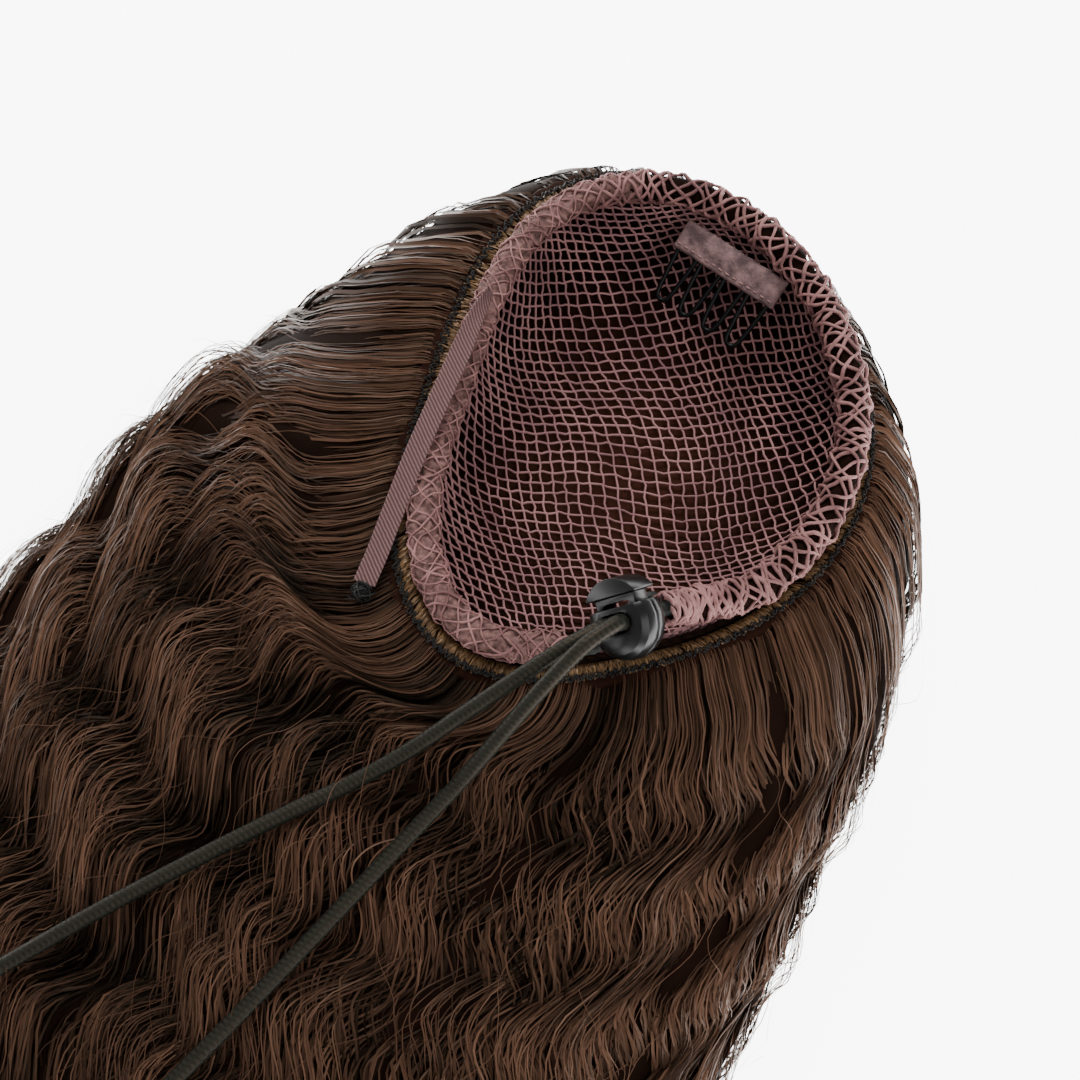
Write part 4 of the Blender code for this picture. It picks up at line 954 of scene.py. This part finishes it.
# Strap
def build_strap(finish, thread, rng):
    """Flat twill tape with a soft edge, half turned where it leaves the rim, and its knot."""
    over = RIM_HEIGHT + 3.05
    path = smooth_curve(rim_point(np.radians(STRAP_ROUTE[:, 0]), STRAP_ROUTE[:, 1],
                                  over + STRAP_ROUTE[:, 2]), 0.5)
    s = np.linspace(0, 1, len(path))
    tangent = unit(np.gradient(path, axis=0))
    side, up = side_and_up(tangent)
    roll = np.radians(70.0) * np.clip(1 - s / 0.28, 0, 1) ** 1.5
    wide = STRAP_HALF_WIDTH * (0.62 + 0.38 * np.clip(s / 0.25, 0, 1))
    across = side * np.cos(roll)[:, None] + up * np.sin(roll)[:, None]
    thick = np.cross(across, tangent)
    path = path + up * (wide * np.sin(roll))[:, None] * 0.75
    angle = turn(28)
    edge = rounded(np.cos(angle), 0.55)
    cup = 0.35 * (edge ** 2 - 0.5)
    breadth = wide[:, None] * edge
    verts = (path[:, None] + across[:, None] * breadth[..., None]
             + thick[:, None] * (STRAP_HALF_THICK * rounded(np.sin(angle), 0.8)
                                 + cup)[..., None])
    verts[0], verts[-1] = path[0], path[-1]
    uv = np.stack(np.broadcast_arrays(arc_length(path)[:, None], breadth), -1)
    faces = grid_faces(len(path), len(angle), wrap=True)
    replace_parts(piece("twill_strap", verts, faces, finish, uv=uv), "loop_strap")
    build_strap_knot(path[-1] + tangent[-1] * 1.2 - up[-1] * 0.6, tangent[-1], thread, rng)


def build_strap_knot(centre, outward, thread, rng):
    """Tangle of thread at the strap's end: partial rings, each with a tail that falls away."""
    one_each = (KNOT_THREADS, 1, 1)
    t = np.linspace(0, 1, 30)[None, :, None]
    way = unit(rng.normal(size=(KNOT_THREADS, 1, 3)) * [1, 1, 0.5])
    other = unit(np.cross(way, rng.normal(size=(KNOT_THREADS, 1, 3))))
    size = rng.uniform(1.0, 2.6, one_each)
    angle = rng.uniform(0, TURN, one_each) + t * rng.uniform(3, 7, one_each)
    tail = np.clip(t - 0.75, 0, 1) * rng.uniform(0, 14, one_each)
    fall = unit(rng.normal(size=(KNOT_THREADS, 1, 3)) * [1, 1, 0.15] + outward)
    paths = centre + size * (way * np.cos(angle) + other * np.sin(angle) * 0.8) + fall * tail
    paths[..., 2] = np.maximum(paths[..., 2], 44.5)
    facing = np.broadcast_to(np.array([0.1, 0.2, 1.0]), paths.shape)
    verts, faces = tubes(paths, facing, 0.2, 4)
    piece("strap_knot", verts, faces, thread)


# Comb
def comb_frame():
    """Middle of the tape, the way along it, the way the teeth point, and its normal."""
    centre = rim_point(np.radians(174.1), -8.9, RIM_HEIGHT - 6.5)
    along = unit(np.array([0.985, -0.09, 0.0]))
    teeth = np.array([0.04, -0.80, -0.60])
    teeth = unit(teeth - along * (teeth @ along))
    return centre, along, teeth, np.cross(teeth, along)


def build_teeth(finish):
    """Four hairpin loops of one wire side by side, wider at the tape than at the tips."""
    centre, along, teeth, normal = comb_frame()
    a = np.radians(np.arange(170, 5, -20))
    route = []
    leg = np.array([(2.8, -1.4), (2.75, 4.0), (2.0, 12.4)])
    for number in (-1.5, -0.5, 0.5, 1.5):
        middle = number * TOOTH_PITCH
        tip = np.stack([middle + TIP_RADIUS * np.cos(a), TIP_REACH + TIP_RADIUS * np.sin(a)],
                       -1)
        route += [(middle - p, q) for p, q in leg]
        route += [*tip.tolist(), *[(middle + p, q) for p, q in leg[::-1]]]
    path = smooth_curve([centre + along * p + teeth * q for p, q in route], 0.45)[None]
    verts, faces = tubes(path, np.broadcast_to(normal, path.shape), TOOTH_RADIUS, 10)
    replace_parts(piece("comb_teeth", verts, faces, finish), "comb_wire")


def build_tape(finish, thread):
    """Folded tape over the comb: a rounded slab, thinner at its ends and along its seam."""
    centre, along, teeth, normal = comb_frame()
    x = np.linspace(-1, 1, 90)[:, None]
    angle = turn(36)[None, :]
    flat = rounded(np.cos(angle), 0.35)
    end = (1 - np.abs(x) ** 24) ** 0.5
    wave = 0.16 * np.sin(17 * x) + 0.1 * np.sin(31 * x + 1)
    seam = 0.28 * np.exp(-((flat - 0.62) / 0.12) ** 2)
    p = np.repeat(TAPE_HALF_LENGTH * x, angle.size, 1)
    q = -0.2 + TAPE_HALF_WIDTH * flat * (0.97 + 0.03 * end) + 0.1 * wave
    r = (rounded(np.sin(angle), 0.6) * (TAPE_HALF_THICK - seam + 0.1 * wave)
         * (0.2 + 0.8 * end))
    verts = centre + along * p[..., None] + teeth * q[..., None] + normal * r[..., None]
    faces = grid_faces(len(x), angle.size, wrap=True)
    tape = piece("comb_tape_fold", verts, faces, finish, uv=np.stack([p, q], -1))
    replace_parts(tape, "comb_tape")

    dash = np.linspace(-13.4, 13.4, 14)
    u = np.linspace(-0.65, 0.65, 6)
    p = (dash[:, None] + u[None, :])[..., None]
    rise = np.broadcast_to(1.52 + 0.22 * np.cos(np.pi * u / 1.5), p.shape[:2])[..., None]
    for face, name in ((1, "front"), (-1, "back")):
        paths = centre + along * p + teeth * 2.1 + normal * face * rise
        verts, faces = tubes(paths, np.broadcast_to(normal, paths.shape), 0.22, 5)
        piece("tape_stitches_" + name, verts, faces, thread)


def finish_lock(finish):
    """Rounded edges and smooth shading on the lock's two solids, by modifiers alone."""
    shade = bpy.data.node_groups.new("shade_smooth", "GeometryNodeTree")
    for way in ("INPUT", "OUTPUT"):
        shade.interface.new_socket(name="Geometry", in_out=way,
                                   socket_type="NodeSocketGeometry")
    start, end = shade.nodes.new("NodeGroupInput"), shade.nodes.new("NodeGroupOutput")
    soft = shade.nodes.new("GeometryNodeSetShadeSmooth")
    link(shade, start, "Geometry", soft, "Geometry")
    link(shade, soft, "Geometry", end, "Geometry")
    for name in ("lock_body", "lock_button"):
        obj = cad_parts[name]
        obj.data.materials[0] = finish
        obj.modifiers.new("weld", "WELD").merge_threshold = 0.00001
        edge = obj.modifiers.new("rounded_edge", "BEVEL")
        edge.width = LOCK_ROUNDING * MM
        edge.segments = 3
        edge.limit_method = "ANGLE"
        edge.angle_limit = np.radians(25)
        obj.modifiers.new("shade_smooth", "NODES").node_group = shade


def stage():
    """Pale floor, two soft lights and a pale surround, in metres."""
    size = 12.0
    mesh = bpy.data.meshes.new("floor")
    mesh.from_pydata([(-size, -size, 0), (size, -size, 0), (size, size, 0), (-size, size, 0)],
                     [], [(0, 1, 2, 3)])
    floor = bpy.data.objects.new("floor", mesh)
    bpy.context.scene.collection.objects.link(floor)
    mat, _, shader = new_finish("floor_white", 0.9, 0.1)
    shader.inputs["Base Color"].default_value = (0.9, 0.9, 0.9, 1)
    shader.inputs["Emission Color"].default_value = (1, 1, 1, 1)
    shader.inputs["Emission Strength"].default_value = FLOOR_GLOW
    mesh.materials.append(mat)
    world = bpy.data.worlds.new("surround")
    world.use_nodes = True
    sky = world.node_tree.nodes["Background"]
    sky.inputs["Color"].default_value = (1, 1, 1, 1)
    sky.inputs["Strength"].default_value = SURROUND_GLOW
    bpy.context.scene.world = world
    for name, place, power, width in (("key_light", (-0.5, 0.55, 0.9), 14.0, 0.6),
                                      ("fill_light", (0.7, -0.3, 0.8), 6.0, 0.8)):
        data = bpy.data.lights.new(name, "AREA")
        data.energy = power
        data.size = width
        lamp = bpy.data.objects.new(name, data)
        lamp.location = place
        aim = -np.array(place)
        lamp.rotation_euler = (np.arctan2(np.hypot(aim[0], aim[1]), -aim[2]), 0,
                               np.arctan2(aim[1], aim[0]) - np.pi / 2)
        bpy.context.scene.collection.objects.link(lamp)


camera()
LOCK_CENTRE = rim_point(np.radians(LOCK_ANGLE), LOCK_OUTSIDE, RIM_HEIGHT + LOCK_LIFT)
FIBRE = fibre_group()
WEAVE = weave_group()
TWILL = twill_group()

SKIN = fibre_finish("cord_skin", (0.001, 0.0015, 0.001), (0.014, 0.016, 0.013),
                    streak=0.2, scale=400.0, specular=0.18, dull=0.45)
CORD = cloth_finish("cord_braid", (0.022, 0.024, 0.021), (0.006, 0.007, 0.006),
                    fine=2500.0, mottle=500.0, roughness=0.6, bump=0.5, depth=0.0002)
build_cords(SKIN)
for node in ("cord_knot_left", "cord_knot_right", "drawcord_loop"):
    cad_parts[node].data.materials[0] = CORD

SATIN = cloth_finish("lock_satin", (0.004, 0.004, 0.004), (0.002, 0.002, 0.002),
                     fine=2500.0, mottle=250.0, roughness=0.28, bump=0.06, depth=0.0001)
finish_lock(SATIN)

HAIR = fibre_finish("hair_fibre", (0.0018, 0.0008, 0.0004), (0.115, 0.058, 0.036),
                    streak=0.25, specular=0.13)
# near-black copy of the hair colour: painted shade for the hair's depths, the ridge under the
# weft's loops and the core of the rolled rim
HAIR_SHADE = fibre_finish("hair_painted_shade", (0.003, 0.0016, 0.0012), (0.05, 0.017, 0.011),
                    streak=0.25, specular=0.08, dull=0.9)
HAIR_FORM, HAIR_RUNS, HAIR_NORMAL, HAIR_SIDE = hair_form()
build_backing(HAIR_SHADE)
rng = np.random.default_rng(7)
for depth_name, layer in LAYERS.items():
    for side_name, between in LAYER_SIDES.items():
        build_strands(f"hair_{depth_name}_{side_name}", rng, between, layer, HAIR)
build_strands("hair_beneath", rng, FAR_SIDE, FAR_LAYER, HAIR)
build_flyaways(rng, HAIR)

NET = cloth_finish("net_thread", (0.36, 0.185, 0.18), (0.22, 0.105, 0.11),
                   fine=3000.0, mottle=90.0, roughness=0.7, bump=0.3, depth=0.0001)
build_net(NET)

RIM_LINE = rim_path()
RIM_RUN = arc_length(RIM_LINE)
ROLL = cloth_finish("rolled_thread", (0.33, 0.163, 0.153), (0.14, 0.062, 0.06),
                    fine=2600.0, mottle=160.0, roughness=0.7, bump=0.4, depth=0.0001)
BAND = cloth_finish("crumpled_net", (0.20, 0.10, 0.088), (0.06, 0.028, 0.025),
                    fine=1500.0, mottle=700.0, roughness=0.75, bump=0.8, depth=0.0004)
build_rolled_net(ROLL, rng)
build_core(HAIR_SHADE)
build_band(BAND)

THREAD = cloth_finish("black_thread", (0.012, 0.011, 0.010), (0.004, 0.004, 0.004),
                      fine=3000.0, mottle=700.0, roughness=0.6, bump=0.4, depth=0.0001)
LOOPS = fibre_finish("weft_fibre", (0.022, 0.011, 0.005), (0.17, 0.095, 0.042))
build_weft_ridge(HAIR_SHADE)
build_weft_loops(LOOPS, rng)
build_weft_stitches(THREAD)

STRAP = twill_finish("strap_twill", (0.19, 0.10, 0.097), (0.055, 0.028, 0.027),
                     scale=0.58, roughness=0.75, bump=0.7, depth=0.0003)
build_strap(STRAP, THREAD, rng)

WIRE = cloth_finish("comb_black", (0.0015, 0.0015, 0.002), (0.001, 0.001, 0.001),
                    fine=800.0, mottle=300.0, roughness=0.35, bump=0.05, depth=0.0001,
                    specular=0.15)
TAPE = cloth_finish("tape_cloth", (0.23, 0.138, 0.135), (0.075, 0.043, 0.045),
                    fine=1800.0, mottle=330.0, roughness=0.75, bump=0.8, depth=0.0005)
STITCH = cloth_finish("mauve_thread", (0.34, 0.19, 0.175), (0.2, 0.11, 0.10),
                      fine=3000.0, mottle=500.0, roughness=0.7, bump=0.3, depth=0.0001)
build_teeth(WIRE)
build_tape(TAPE, STITCH)

stage()
